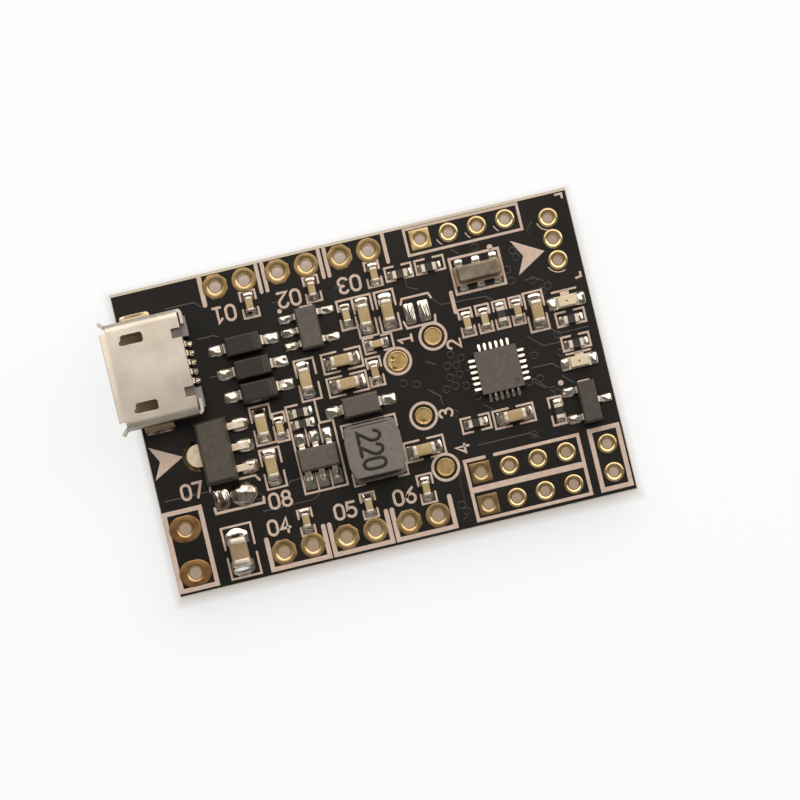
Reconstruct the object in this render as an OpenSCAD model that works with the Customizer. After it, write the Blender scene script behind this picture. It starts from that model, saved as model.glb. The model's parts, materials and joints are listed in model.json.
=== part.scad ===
// Flight controller board of a small brushed-motor drone.
// The origin lies on the processor's outer face, under the middle of the board.
// +X is the way the board flies, the USB port is at -X, and +Z is up.

/* [Board] */
// Length of the printed face along X
board_length = 32.1; // [32:0.1:34]
// Width of the printed face along Y
board_width = 21.1; // [21:0.1:23]
// Thickness of the laminate
board_thickness = 1.6; // [1.2:0.1:2]
// Reach of the scored edge at +Y past the printed face
score_reach = 0.24; // [0.1:0.02:0.4]
// Reach of the cut edge at -Y past the printed face
cut_reach = 0.04; // [0.02:0.02:0.3]
// Reach of the scored short edges past the printed face
end_reach = 0.08; // [0.02:0.02:0.3]
// Depth of each score from its face
score_depth = 0.5; // [0.2:0.05:0.55]

/* [Plated holes] */
// Bore of a motor hole
motor_bore = 0.82; // [0.6:0.02:0.9]
// Width across a motor land
motor_land = 1.7; // [1.5:0.05:1.75]
// Distance between the two holes of a motor
motor_pitch = 2.03; // [1.9:0.01:2.2]
// Distance from one motor to the next
motor_spacing = 4.4; // [4.3:0.05:4.5]
// Bore of a battery hole
battery_bore = 0.84; // [0.6:0.02:1]
// Length of a battery land
battery_land_length = 2.2; // [1.9:0.05:2.3]
// Width of a battery land
battery_land_width = 1.8; // [1.6:0.05:1.9]
// Bore of a header hole
header_bore = 0.7; // [0.5:0.02:0.8]
// Width across a header land
header_land = 1.4; // [1.3:0.05:1.5]
// Distance between the pins of a header
header_pitch = 2; // [1.95:0.01:2.05]
// Distance between the pins of the narrow header
narrow_pitch = 1.5; // [1.45:0.01:1.6]
// Diameter of a test land
test_land = 1.36; // [1:0.02:1.6]

/* [USB port] */
// Width of the shell
shell_width = 7.4; // [7.3:0.05:7.7]
// Height of the shell
shell_height = 2.55; // [2.4:0.05:2.8]
// Length of the shell behind the flared mouth
shell_length = 5.05; // [4.8:0.05:5.4]
// Thickness of the stamped sheet
shell_sheet = 0.25; // [0.2:0.01:0.3]
// Length of the flared lips
lip_run = 0.42; // [0.3:0.02:0.7]
// Spread of the lips above and below the mouth
lip_spread = 0.12; // [0.08:0.02:0.3]
// Spread of the lips at the sides of the mouth
side_spread = 0.38; // [0.2:0.02:0.45]
// Distance of the rear wings' inner edges from the port's middle
wing_inner = 2.6; // [2.3:0.05:3]
// Distance of the port's middle from the board's middle
port_y = 4.9; // [4.8:0.05:5.2]

/* [Packages] */
// Width of the processor's body
processor_size = 7; // [6.5:0.1:7.2]
// Height of the processor's outer face from the board
processor_height = 1.6; // [1.4:0.05:1.8]
// Width of the motion sensor's body
sensor_size = 2.95; // [2.8:0.05:3.1]
// Height of the motion sensor
sensor_height = 0.9; // [0.7:0.05:1.1]
// Height of the regulator
regulator_height = 1.5; // [1.3:0.05:1.6]
// Height of the small moulded packages
package_height = 1.1; // [0.9:0.05:1.2]
// Draft of the moulded bodies, in degrees
draft = 11; // [4:1:12]

/* [Inductor] */
// Width of the core across its flats
core_width = 3.9; // [3.7:0.05:4]
// Height of the inductor
core_height = 1.8; // [1.5:0.1:2.2]
// Diameter of the post that carries the winding
post_diameter = 2; // [1.6:0.1:2.2]

/* [Chip parts] */
// Length of a medium capacitor
medium_length = 1.6; // [1.5:0.05:1.7]
// Width of a medium capacitor
medium_width = 0.82; // [0.7:0.02:0.85]
// Length of a small capacitor or resistor
small_length = 1; // [0.9:0.05:1.1]
// Width of a small capacitor or resistor
small_width = 0.52; // [0.45:0.01:0.55]
// Length of the supply capacitor
supply_length = 2.05; // [1.9:0.05:2.2]
// Width of the supply capacitor
supply_width = 1.3; // [1.2:0.05:1.35]
// Thickness of the metal on a chip's ends
plating = 0.03; // [0.02:0.01:0.05]

/* [Solder] */
// Thickness of the solder between a terminal and its land
film = 0.04; // [0.03:0.01:0.06]
// Height of the solder bridge
bridge_height = 0.5; // [0.3:0.05:0.6]

/* [Hidden] */

// Levels of the board's two faces
under_z = processor_height;
top_z = under_z + board_thickness;

// Steps on a full circle, and on the arc of one bend
round_steps = 48;
bend_steps = 3;
// A cut's overrun past the face that it opens
over = 0.5;

// Flare of a plated hole's mouth, the metal round its bore, and a land's thickness
hole_flare = 0.16;
barrel_wall = 0.18;
land_thickness = 0.06;
// Rise of a header land's crest, and how far its mouth reaches into the board
land_crown = 0.12;
mouth_depth = 0.1;

// First hole of each row, as [x, y]
upper_motors = [-8.9, 9.64];
lower_motors = [-8.47, -9.2];
battery_first = [-14.71, -9.2];
battery_pitch = 3.1;
four_pin_first = [5.57, 9.57];
three_pin_first = [14.47, 5.97];
eight_pin_first = [5.91, -7.01];
eight_pin_row_gap = 2.26;
two_pin_first = [14.8, -9.1];

motor_starts = [
    for (first = [upper_motors, lower_motors])
        for (i = [0:2])
            first + [i * motor_spacing, 0]
];
motor_holes = [for (first = motor_starts) for (k = [0, 1]) first + [k * motor_pitch, 0]];
battery_holes = [for (k = [0, 1]) battery_first + [0, k * battery_pitch]];
four_pin_holes = [for (k = [0:3]) four_pin_first + [k * header_pitch, 0]];
three_pin_holes = [for (k = [0:2]) three_pin_first + [0, k * narrow_pitch]];
eight_pin_holes = [
    for (row = [0, 1])
        for (k = [0:3])
            eight_pin_first + [k * header_pitch, -row * eight_pin_row_gap]
];
two_pin_holes = [for (k = [0, 1]) two_pin_first + [0, k * header_pitch]];
header_holes = concat(four_pin_holes, three_pin_holes, eight_pin_holes, two_pin_holes);

// Holes drilled for the barrels, as [places, diameter]
drillings = [
    [motor_holes, motor_bore + 2 * barrel_wall],
    [battery_holes, battery_bore + 2 * barrel_wall],
    [header_holes, header_bore + 2 * barrel_wall]
];

// Places of the parts on the upper face, as [x, y, turn]
regulator_place = [-11.42, -1.45, 0];
low_dropout_place = [-3.27, 5.36, 0];
boost_converter_place = [-4.68, -3.47, 90];
motion_sensor_place = [8.76, -0.45, 0];
transistor_place = [14.25, -4.02, 0];
inductor_place = [-0.82, -3.89, 0];
resonator_place = [8.94, 6.42, 0];
supply_capacitor_place = [-11.42, -8.52, 90];
bridge_place = [-10.22, -4.67, 0];
diode_places = [[-7.92, 5.29, 0], [-7.65, 3.58, 0], [-7.58, 1.95, 0], [-1.02, -0.66, 0]];
lamp_places = [[14.36, 3.06, 0], [14.23, -1.17, 0]];
test_places = [[2.13, 1.74], [4.88, 2.84], [2.99, -2.34], [3.64, -6.12]];
jumper_places = [[3.71, 4.73], [4.69, 4.73]];
medium_capacitor_places = [
    [-4.32, 1.95, 90], [-1.61, 2.67, 0], [-1.57, 1.02, 0], [0.62, 5.31, 90], [2.24, 5.24, 90],
    [12.26, 2.82, 90], [9.07, -3.78, 0], [2.48, -4.61, 0], [-7.97, -0.42, 90], [-7.95, -3.34, 90]
];
small_capacitor_places = [
    [0.44, 1.33, 90], [1, 3.22, 0], [-0.58, 5.59, 90], [7.39, 3.15, 90], [8.62, 3.12, 90],
    [10.95, 3.18, 90], [-6.79, -0.9, 90],
    [-6.87, 7.9, 90], [-2.47, 7.9, 90], [1.93, 7.9, 90], [-6.5, -7.46, 90], [-2.08, -7.46, 90],
    [2, -7.25, 90]
];
resistor_places = [
    [3.66, 7.55, 0], [5.7, 7.54, 0], [9.82, 3.22, 90], [14.4, 1.8, 0], [14.35, 0.1, 0],
    [6.36, -3.64, 0], [12.12, -4.16, 90], [-5.21, -0.14, 0], [-5.21, -0.93, 0]
];

// Places of the parts on the underside, as [x, y, turn] seen from above
switch_reach = 2.75;
switch_places = [
    for (first = motor_starts)
        [first[0] + motor_pitch / 2, first[1] - sign(first[1]) * switch_reach, first[1] > 0 ? 0 : 180]
];
gate_offset = 2.2;
gate_resistor_places = [for (place = switch_places) [place[0] + gate_offset, place[1], 90]];
decoupling_x = 5.7;
decoupling_y = 2.4;
decoupling_places = [
    for (x = [-decoupling_x, decoupling_x])
        for (y = [-decoupling_y, decoupling_y])
            [x, y, 90]
];

// Gull-wing packages as [across the leads, along them, span, lead width, leads at +X, leads at -X]
lead_pitch = 0.95;
five_lead = [1.55, 2.92, 2.8, 0.42, [-lead_pitch, lead_pitch], [-lead_pitch, 0, lead_pitch]];
six_lead = [1.6, 2.8, 2.8, 0.42, [-lead_pitch, 0, lead_pitch], [-lead_pitch, 0, lead_pitch]];
three_lead = [1.3, 2.9, 2.4, 0.42, [0], [-lead_pitch, lead_pitch]];
two_lead = [2.6, 1.48, 3.7, 0.66, [0], [0]];
lead_sheet = 0.15;
lead_bend = 0.16;
lead_embed = 0.25;
lead_knee = 0.12;
foot_length = 0.35;
package_standoff = 0.08;

processor_pins = 12;
processor_pitch = 0.5;
processor_span = 9;
processor_lead_width = 0.22;
sensor_pins = 6;
sensor_pitch = 0.4;
sensor_terminal = [0.34, 0.24, 0.2];
// Dimple that marks the first terminal, as [diameter, depth, distance from the sides]
sensor_mark = [0.36, 0.06, 0.42];
processor_mark = [0.9, 0.08, 0.95];

// Regulator: body, leads and half-round tab
regulator_across = 2.25;
regulator_along = 4.45;
regulator_sheet = 0.4;
regulator_pitch = 1.48;
regulator_lead_width = 0.48;
regulator_lead_reach = 2.3;
tab_radius = 0.8;
tab_reach = 2.06;
tab_land_radius = 1.08;
tab_solder = 0.3;

// Chip parts as [length, width, height, length of the metal band]
medium_chip = [medium_length, medium_width, 0.8, 0.28];
small_chip = [small_length, small_width, 0.5, 0.2];
supply_chip = [supply_length, supply_width, 1.2, 0.36];
resistor_chip = [small_length, small_width, 0.34, 0.24];
chip_edge = 0.05;
coat_thickness = 0.03;

// Lands under a part's ends as [inner edge, outer edge, width, height of the solder]
medium_land = [0.48, 1.28, 0.9, 0.5];
small_land = [0.28, 0.86, 0.64, 0.32];
supply_land = [0.6, 1.68, 1.44, 0.8];
resistor_land = [0.26, 0.86, 0.6, 0.24];
wide_land = [0.95, 1.98, 0.62, 0.14];
transistor_land = [0.75, 1.62, 0.62, 0.14];
diode_land = [1.42, 2.52, 0.84, 0.16];
sensor_land = [1.2, 2, 0.25, 0.16];
lamp_land = [0.5, 1.34, 0.92, 0.2];
regulator_land = [1.3, 2.66, 1, 0.34];
processor_land = [3.95, 4.8, 0.26, 0.12];
resonator_land = [0.3, 1.16, 0.62, 0.3];
inductor_land = [0.9, 1.9, 3.1, 0.08];
contact_land = [0.2, 0.56, 0.36, 0.15];
leg_land = [3.57, 4.22, 2.1, 0.25];
fillet_steps = 5;

// Resonator: ceramic base, metal lid and the bands on the base
resonator_base = [3.3, 1.34, 0.36];
lid_size = [2.92, 1.06, 0.46];
lid_offset = 0.05;
lid_corner = 0.16;
lid_step = 0.07;
resonator_band = 0.5;
resonator_pitch = 1.2;
resonator_band_height = 0.3;

// Lamp: overall size, end terminals and lens
lamp_size = [1.6, 0.84, 0.24];
lamp_terminal = 0.3;
lens_size = [1.3, 0.8, 0.4];

// Inductor levels and radii
terminal_sheet = 0.1;
flange_thickness = 0.5;
winding_thickness = 0.5;
flange_length = 3.42;
flange_cut = [0.3, 0.85];
base_corner = 0.35;
resin_corner = 0.72;
resin_width = 3.62;
base_width = [3.66, 4.02];
terminal_size = [0.95, 3.1];

// Port: the rear edge, the shell's lower corners and what is cut in it
shell_rear = -11.82;
shell_front = shell_rear - shell_length;
shell_floor = 5.7;
shell_shoulder = 1.1;
shell_corner = 0.55;
top_lip_width = 6.2;
side_lip_low = 1.3;
window_size = [1.5, 0.68];
window_x = -15.2;
window_gap = 4.74;
notch_size = [0.65, 0.65];
notch_gap = 4.1;
// Space between the shell's rear edge and the wings, and the wings' lower edge
wing_gap = 0.08;
wing_low = 1.4;
leg_length = 2;
leg_x = -14.8;
leg_foot = 0.42;
// Radius of a fold, in thicknesses of the sheet
fold_radius = 0.8;
tongue_size = [4.6, 3.4, 0.62];
tongue_level = 1.2;
block_length = 1.7;
block_inset = 0.05;
// Ears behind the block: the outline of one across Y and Z, and how far they stand out
ear_outline = [[1.8, 0.3], [2.66, 0.3], [3.2, 1], [3.2, 1.3], [1.8, 1.3]];
ear_reach = 0.45;
// Relief at one corner of a latch window, as a diameter
window_relief = 0.34;
contact_pitch = 0.65;
contact_width = 0.36;
contact_sheet = 0.15;
contact_reach = 0.42;

function unit(v) = v / norm(v);
function left_of(v) = [-v[1], v[0]];
function reversed(list) = [for (i = [len(list) - 1:-1:0]) list[i]];

// Points of an elliptic arc about a centre
function arc(centre, radii, from, to, steps) = [
    for (i = [0:steps])
        let (angle = from + (to - from) * i / steps)
            centre + [radii[0] * cos(angle), radii[1] * sin(angle)]
];

// A closed anticlockwise outline moved inwards
function inset(outline, depth) = let (n = len(outline)) [
    for (i = [0:n - 1])
        let (
            before = left_of(unit(outline[i] - outline[(i + n - 1) % n])),
            after = left_of(unit(outline[(i + 1) % n] - outline[i]))
        )
            outline[i] + (before + after) * depth / (1 + before * after)
];

// A closed anticlockwise outline of convex corners with each corner rounded
function softened(outline, radius) = let (n = len(outline)) [
    for (i = [0:n - 1])
        let (
            before = left_of(unit(outline[i] - outline[(i + n - 1) % n])),
            after = left_of(unit(outline[(i + 1) % n] - outline[i])),
            centre = outline[i] + (before + after) * radius / (1 + before * after)
        )
            for (k = [0:bend_steps])
                centre - radius * unit(before * (bend_steps - k) + after * k)
];

// One side of a bent strip whose middle follows a path, with an arc at each bend
function strip_side(path, shift, radius) = let (last = len(path) - 1) [
    for (i = [0:last])
        let (
            before = left_of(unit(path[max(i, 1)] - path[max(i, 1) - 1])),
            after = left_of(unit(path[min(i, last - 1) + 1] - path[min(i, last - 1)])),
            turn = sign(cross(before, after)),
            centre = path[i] + turn * (before + after) * radius / (1 + before * after)
        )
            for (k = [0:(turn == 0 ? 0 : bend_steps)])
                turn == 0
                    ? path[i] + before * shift
                    : centre - (turn * radius - shift) * unit(before * (bend_steps - k) + after * k)
];

// Outline of a sheet-metal strip bent along a path
function strip(path, sheet, radius) = concat(
    strip_side(path, -sheet / 2, radius),
    reversed(strip_side(path, sheet / 2, radius))
);

function rectangle(size) = [
    [-size[0] / 2, -size[1] / 2], [size[0] / 2, -size[1] / 2],
    [size[0] / 2, size[1] / 2], [-size[0] / 2, size[1] / 2]
];

// A rectangle with a straight cut across each corner, as [along X, along Y]
function cut_rectangle(size, cut) = let (x = size[0] / 2, y = size[1] / 2) [
    [x, cut[1] - y], [x, y - cut[1]], [x - cut[0], y], [cut[0] - x, y],
    [-x, y - cut[1]], [-x, cut[1] - y], [cut[0] - x, -y], [x - cut[0], -y]
];

// A slot-shaped outline with round ends
function slot(length, width) = concat(
    arc([(length - width) / 2, 0], [width / 2, width / 2], -90, 90, 2 * fillet_steps),
    arc([(width - length) / 2, 0], [width / 2, width / 2], 90, 270, 2 * fillet_steps)
);

module on_top(place) {
    translate([place[0], place[1], top_z])
        rotate(len(place) > 2 ? place[2] : 0)
            children();
}

module underneath(place) {
    translate([place[0], place[1], under_z])
        rotate([180, 0, 0])
            rotate(-place[2])
                children();
}

// Stands an outline drawn in X and Z upright and gives it a width along Y
module upright(width) {
    rotate([90, 0, 0])
        linear_extrude(width, center = true)
            children();
}

// Carries an outline drawn in Y and Z along X
module along_x(length) {
    rotate([90, 0, 90])
        linear_extrude(length, center = true)
            children();
}

// A moulded body, widest at the level where its leads come out
module moulded(across, along, base, level, height) {
    slope = tan(draft);
    function section(width) = [
        [-width / 2 + (level - base) * slope, base], [width / 2 - (level - base) * slope, base],
        [width / 2, level],
        [width / 2 - (height - level) * slope, height], [-width / 2 + (height - level) * slope, height],
        [-width / 2, level]
    ];
    intersection() {
        upright(along + over) polygon(section(across));
        along_x(across + over) polygon(section(along));
    }
}

// Hole plated through the board, with flat lands whose outline is the child
module flat_eyelet(place, bore) {
    reach = board_thickness / 2 + land_thickness;
    bore_end = reach - hole_flare;
    mouth = bore / 2 + hole_flare;
    barrel = concat(
        [[bore / 2 + barrel_wall, -reach], [bore / 2 + barrel_wall, reach]],
        arc([mouth, bore_end], [hole_flare, hole_flare], 90, 180, bend_steps),
        arc([mouth, -bore_end], [hole_flare, hole_flare], 180, 270, bend_steps)
    );
    translate([place[0], place[1], (under_z + top_z) / 2]) {
        rotate_extrude($fn = round_steps) polygon(barrel);
        for (level = [-reach, board_thickness / 2])
            translate([0, 0, level])
                difference() {
                    linear_extrude(land_thickness) children();
                    translate([0, 0, -over])
                        cylinder(r = mouth, h = land_thickness + 2 * over, $fn = round_steps);
                }
    }
}

// Hole plated through the board, with a crowned ring on each face
module crowned_eyelet(place, bore, land) {
    half = board_thickness / 2;
    bore_end = half - mouth_depth;
    crest = bore / 2 + hole_flare;
    outer_arc = [land / 2 - crest, land_crown];
    inner_arc = [hole_flare, land_crown + mouth_depth];
    wall = bore / 2 + barrel_wall;
    section = concat(
        [[wall, -half], [wall, half]],
        arc([crest, half], outer_arc, 0, 90, bend_steps),
        arc([crest, bore_end], inner_arc, 90, 180, bend_steps),
        arc([crest, -bore_end], inner_arc, 180, 270, bend_steps),
        arc([crest, -half], outer_arc, 270, 360, bend_steps)
    );
    translate([place[0], place[1], (under_z + top_z) / 2])
        rotate_extrude($fn = round_steps)
            polygon(section);
}

module octagon(width) {
    sides = 8;
    rotate(180 / sides)
        circle(d = width / cos(180 / sides), $fn = sides);
}

module circuit_board() {
    function scored(width, low, high) = [
        [-width / 2, under_z], [width / 2, under_z],
        [width / 2 + high, under_z + score_depth], [width / 2 + high, top_z - score_depth],
        [width / 2, top_z], [-width / 2, top_z],
        [-width / 2 - low, top_z - score_depth], [-width / 2 - low, under_z + score_depth]
    ];
    color("#2a2825")
        difference() {
            intersection() {
                upright(board_width * 2) polygon(scored(board_length, end_reach, end_reach));
                along_x(board_length * 2) polygon(scored(board_width, cut_reach, score_reach));
            }
            for (set = drillings)
                for (place = set[0])
                    translate([place[0], place[1], under_z - over])
                        cylinder(d = set[1], h = board_thickness + 2 * over, $fn = round_steps);
        }
}

module battery_eyelets() {
    color("#b08a40")
        for (place = battery_holes)
            flat_eyelet(place, battery_bore)
                polygon(slot(battery_land_length, battery_land_width));
}

module motor_eyelets() {
    color("#b08a40")
        for (first = motor_starts) {
            flat_eyelet(first, motor_bore) octagon(motor_land);
            flat_eyelet(first + [motor_pitch, 0], motor_bore) circle(d = motor_land, $fn = round_steps);
        }
}

// A header whose first land is square
module marked_header(holes) {
    color("#b08a40") {
        flat_eyelet(holes[0], header_bore) square(header_land, center = true);
        for (i = [1:len(holes) - 1])
            crowned_eyelet(holes[i], header_bore, header_land);
    }
}

module four_pin_eyelets() {
    marked_header(four_pin_holes);
}

module three_pin_eyelets() {
    color("#b08a40")
        for (place = three_pin_holes)
            crowned_eyelet(place, header_bore, header_land);
}

module eight_pin_eyelets() {
    for (row = [0, 1])
        marked_header([for (k = [0:3]) eight_pin_holes[4 * row + k]]);
}

module two_pin_eyelets() {
    color("#b08a40")
        for (place = two_pin_holes)
            crowned_eyelet(place, header_bore, header_land);
}

module test_lands() {
    color("#b08a40")
        for (place = test_places)
            on_top(place)
                cylinder(d = test_land, h = land_thickness, $fn = round_steps);
}

// Two tinned lands with a low crown of solder
module jumper_lands() {
    size = [0.68, 1.5];
    crown = 0.1;
    color("#d8d6d0")
        for (place = jumper_places)
            on_top(place)
                upright(size[1])
                    polygon(concat(
                        [[-size[0] / 2, 0], [size[0] / 2, 0]],
                        arc([0, film], [size[0] / 2, crown], 0, 180, 2 * fillet_steps)
                    ));
}

// Outline of the port across Y and Z, wide above and drawn in below
port_outline = [
    [shell_floor / 2, 0], [shell_width / 2, shell_shoulder], [shell_width / 2, shell_height],
    [-shell_width / 2, shell_height], [-shell_width / 2, shell_shoulder], [-shell_floor / 2, 0]
];

// The tube of the port, pierced by its latch windows and rear notches
module shell_tube() {
    middle = (shell_front + shell_rear) / 2;
    difference() {
        translate([middle, 0, 0])
            along_x(shell_length)
                polygon(softened(port_outline, shell_corner));
        translate([middle, 0, 0])
            along_x(shell_length + over)
                polygon(softened(inset(port_outline, shell_sheet), shell_corner - shell_sheet));
        for (side = [-1, 1]) {
            translate([window_x, side * window_gap / 2, shell_height])
                linear_extrude(2 * over, center = true) {
                    polygon(softened(rectangle(window_size), shell_sheet / 2));
                    translate([-window_size[0] / 2, (window_relief - window_size[1]) / 2])
                        circle(d = window_relief, $fn = round_steps / 2);
                }
            translate([shell_rear, side * notch_gap / 2, shell_height])
                cube([2 * notch_size[0], notch_size[1], 2 * over], center = true);
        }
    }
}

// Lips that guide the plug: one above, one below and one on each side
module shell_lips() {
    bend = 2 * shell_sheet;
    function lip(edge, way, spread) = [
        [shell_front + lip_run, edge - way * shell_sheet / 2],
        [shell_front, edge - way * shell_sheet / 2],
        [shell_front - lip_run, edge - way * shell_sheet / 2 + way * spread]
    ];
    upright(top_lip_width) polygon(strip(lip(shell_height, 1, lip_spread), shell_sheet, bend));
    upright(shell_floor - 2 * shell_corner) polygon(strip(lip(0, -1, lip_spread), shell_sheet, bend));
    for (side = [-1, 1])
        translate([0, 0, side_lip_low])
            linear_extrude(shell_height - shell_corner - side_lip_low)
                polygon(strip(lip(side * shell_width / 2, side, side_spread), shell_sheet, bend));
}

// Rear wings folded in from the side walls, over the insulator's ears
module shell_wings() {
    wall = (shell_width - shell_sheet) / 2;
    heel = shell_rear + wing_gap + shell_sheet / 2;
    path = [[shell_rear - shell_sheet, wall], [heel, wall], [heel, wing_inner]];
    for (side = [0, 1])
        mirror([0, side, 0])
            translate([0, 0, wing_low])
                linear_extrude(shell_height - shell_corner - wing_low)
                    polygon(strip(path, shell_sheet, shell_sheet * fold_radius));
}

// Side legs that turn out onto their lands
module shell_legs() {
    wall = (shell_width - shell_sheet) / 2;
    path = [
        [wall, shell_height - 2 * shell_corner], [wall, film + shell_sheet / 2],
        [wall + leg_foot, film + shell_sheet / 2]
    ];
    for (side = [0, 1])
        mirror([0, side, 0])
            translate([leg_x, 0, 0])
                along_x(leg_length)
                    polygon(strip(path, shell_sheet, shell_sheet * fold_radius));
}

module usb_shell() {
    color("#cfc4b2")
        translate([0, port_y, top_z]) {
            shell_tube();
            shell_lips();
            shell_wings();
            shell_legs();
        }
}

module usb_contacts() {
    tongue_front = shell_rear - tongue_size[0];
    path = [
        [tongue_front + contact_sheet, tongue_level], [shell_rear + contact_sheet, tongue_level],
        [shell_rear + contact_sheet, film + contact_sheet / 2],
        [shell_rear + contact_reach, film + contact_sheet / 2]
    ];
    color("#d9b45a")
        translate([0, port_y, top_z])
            for (k = [-2:2])
                translate([0, k * contact_pitch, 0])
                    upright(contact_width)
                        polygon(strip(path, contact_sheet, contact_sheet * fold_radius));
}

// Block that closes the port's rear, with its ears and the tongue that carries the contacts
module usb_insulator() {
    color("#26241f")
        difference() {
            translate([0, port_y, top_z]) {
                translate([shell_rear - (block_length + block_inset) / 2, 0, 0])
                    along_x(block_length - block_inset)
                        polygon(softened(inset(port_outline, shell_sheet), shell_corner - shell_sheet));
                translate([shell_rear - tongue_size[0], -tongue_size[1] / 2, tongue_level])
                    cube(tongue_size - [2 * block_inset, 0, 0]);
                for (side = [0, 1])
                    mirror([0, side, 0])
                        translate([shell_rear, 0, 0])
                            along_x(2 * ear_reach)
                                polygon(ear_outline);
            }
            usb_contacts();
        }
}

// Leads of a gull-wing package
module gull_leads(package) {
    level = package_height / 2;
    edge = package[0] / 2;
    toe = package[2] / 2;
    foot_level = film + lead_sheet / 2;
    path = [
        [edge - lead_embed, level], [edge + lead_knee, level],
        [toe - foot_length, foot_level], [toe, foot_level]
    ];
    for (side = [0, 1])
        mirror([side, 0, 0])
            for (y = package[4 + side])
                translate([0, y, 0])
                    upright(package[3])
                        polygon(strip(path, lead_sheet, lead_bend));
}

module gull_body(package) {
    difference() {
        moulded(package[0], package[1], package_standoff, package_height / 2, package_height);
        gull_leads(package);
    }
}

module low_dropout_body() {
    color("#4a4644") on_top(low_dropout_place) gull_body(five_lead);
}

module low_dropout_leads() {
    color("#d8d4ca") on_top(low_dropout_place) gull_leads(five_lead);
}

module boost_converter_body() {
    color("#4a4644") on_top(boost_converter_place) gull_body(six_lead);
}

module boost_converter_leads() {
    color("#d8d4ca") on_top(boost_converter_place) gull_leads(six_lead);
}

module transistor_body() {
    color("#33302e") on_top(transistor_place) gull_body(three_lead);
}

module transistor_leads() {
    color("#d8d4ca") on_top(transistor_place) gull_leads(three_lead);
}

module diode_bodies() {
    color("#33322f")
        for (place = diode_places)
            on_top(place) gull_body(two_lead);
}

module diode_leads() {
    color("#d8d4ca")
        for (place = diode_places)
            on_top(place) gull_leads(two_lead);
}

module motor_switch_bodies() {
    color("#33302e")
        for (place = switch_places)
            underneath(place) gull_body(three_lead);
}

module motor_switch_leads() {
    color("#d8d4ca")
        for (place = switch_places)
            underneath(place) gull_leads(three_lead);
}

// Flat leads of the regulator: two outer ones, and a middle one that is one piece with the tab
module regulator_frame() {
    edge = regulator_across / 2;
    half = regulator_lead_width / 2;
    tab = concat(
        arc([tab_radius - tab_reach, 0], [tab_radius, tab_radius], 90, 270, 2 * fillet_steps),
        [
            [0, -tab_radius], [0, -half], [regulator_lead_reach, -half],
            [regulator_lead_reach, half], [0, half], [0, tab_radius]
        ]
    );
    translate([0, 0, film]) {
        linear_extrude(regulator_sheet) polygon(tab);
        for (side = [-1, 1])
            translate([(regulator_lead_reach + edge / 2) / 2, side * regulator_pitch, regulator_sheet / 2])
                cube([regulator_lead_reach - edge / 2, 2 * half, regulator_sheet], center = true);
    }
}

module regulator_leads() {
    color("#d8d4ca") on_top(regulator_place) regulator_frame();
}

module regulator_body() {
    color("#4a4644")
        on_top(regulator_place)
            difference() {
                moulded(regulator_across, regulator_along, film, film + regulator_sheet, regulator_height);
                regulator_frame();
            }
}

// Terminals along the four sides of the motion sensor
module sensor_frame() {
    for (side = [0:3])
        rotate(90 * side)
            for (i = [0:sensor_pins - 1])
                translate([
                    sensor_size / 2 - sensor_terminal[0],
                    (i - (sensor_pins - 1) / 2) * sensor_pitch - sensor_terminal[1] / 2,
                    film
                ])
                    cube(sensor_terminal);
}

module motion_sensor_terminals() {
    color("#d8d4ca") on_top(motion_sensor_place) sensor_frame();
}

// Square moulded body with a dimple that marks its first terminal
module motion_sensor_body() {
    corner = sensor_size / 2 - sensor_mark[2];
    color("#504c49")
        on_top(motion_sensor_place)
            difference() {
                translate([0, 0, film + (sensor_height - film) / 2])
                    cube([sensor_size, sensor_size, sensor_height - film], center = true);
                translate([corner, -corner, sensor_height - sensor_mark[1]])
                    cylinder(d = sensor_mark[0], h = sensor_mark[1] + over, $fn = round_steps);
                sensor_frame();
            }
}

// Leads along the four sides of the processor
module processor_frame() {
    level = processor_height / 2;
    edge = processor_size / 2;
    toe = processor_span / 2;
    foot_level = film + lead_sheet / 2;
    path = [
        [edge - lead_embed, level], [edge + 2 * lead_knee, level],
        [toe - 1.5 * foot_length, foot_level], [toe, foot_level]
    ];
    for (side = [0:3])
        rotate(90 * side)
            for (i = [0:processor_pins - 1])
                translate([0, (i - (processor_pins - 1) / 2) * processor_pitch, 0])
                    upright(processor_lead_width)
                        polygon(strip(path, lead_sheet, lead_bend));
}

module processor_leads() {
    color("#d8d4ca") underneath([0, 0, 0]) processor_frame();
}

module processor_body() {
    corner = processor_size / 2 - processor_mark[2];
    middle = processor_height / 2;
    color("#2e2d2c")
        underneath([0, 0, 0])
            difference() {
                moulded(processor_size, processor_size, package_standoff, middle, processor_height);
                translate([-corner, -corner, processor_height - processor_mark[1]])
                    cylinder(d = processor_mark[0], h = processor_mark[1] + over, $fn = round_steps);
                processor_frame();
            }
}

// Drum core: a base flange, a post and an upper flange with its corners cut
inductor_base = film + terminal_sheet;
post_bottom = inductor_base + flange_thickness;
post_top = core_height - flange_thickness;
post_height = post_top - post_bottom;
winding_diameter = post_diameter + 2 * winding_thickness;

module inductor_core() {
    color("#6f6c68")
        on_top(inductor_place) {
            translate([0, 0, inductor_base])
                linear_extrude(flange_thickness)
                    polygon(softened(rectangle(base_width), base_corner));
            translate([0, 0, post_bottom])
                cylinder(d = post_diameter, h = post_height, $fn = round_steps);
            translate([0, 0, post_top])
                linear_extrude(flange_thickness)
                    polygon(cut_rectangle([core_width, flange_length], flange_cut));
        }
}

module inductor_winding() {
    color("#b5703c")
        on_top(inductor_place)
            translate([0, 0, post_bottom])
                difference() {
                    cylinder(d = winding_diameter, h = post_height, $fn = round_steps);
                    translate([0, 0, -over])
                        cylinder(d = post_diameter, h = post_height + 2 * over, $fn = round_steps);
                }
}

module inductor_resin() {
    color("#3c3a38")
        on_top(inductor_place)
            translate([0, 0, post_bottom])
                difference() {
                    linear_extrude(post_height)
                        polygon(softened(rectangle([resin_width, resin_width]), resin_corner));
                    translate([0, 0, -over])
                        cylinder(d = winding_diameter, h = post_height + 2 * over, $fn = round_steps);
                }
}

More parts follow.
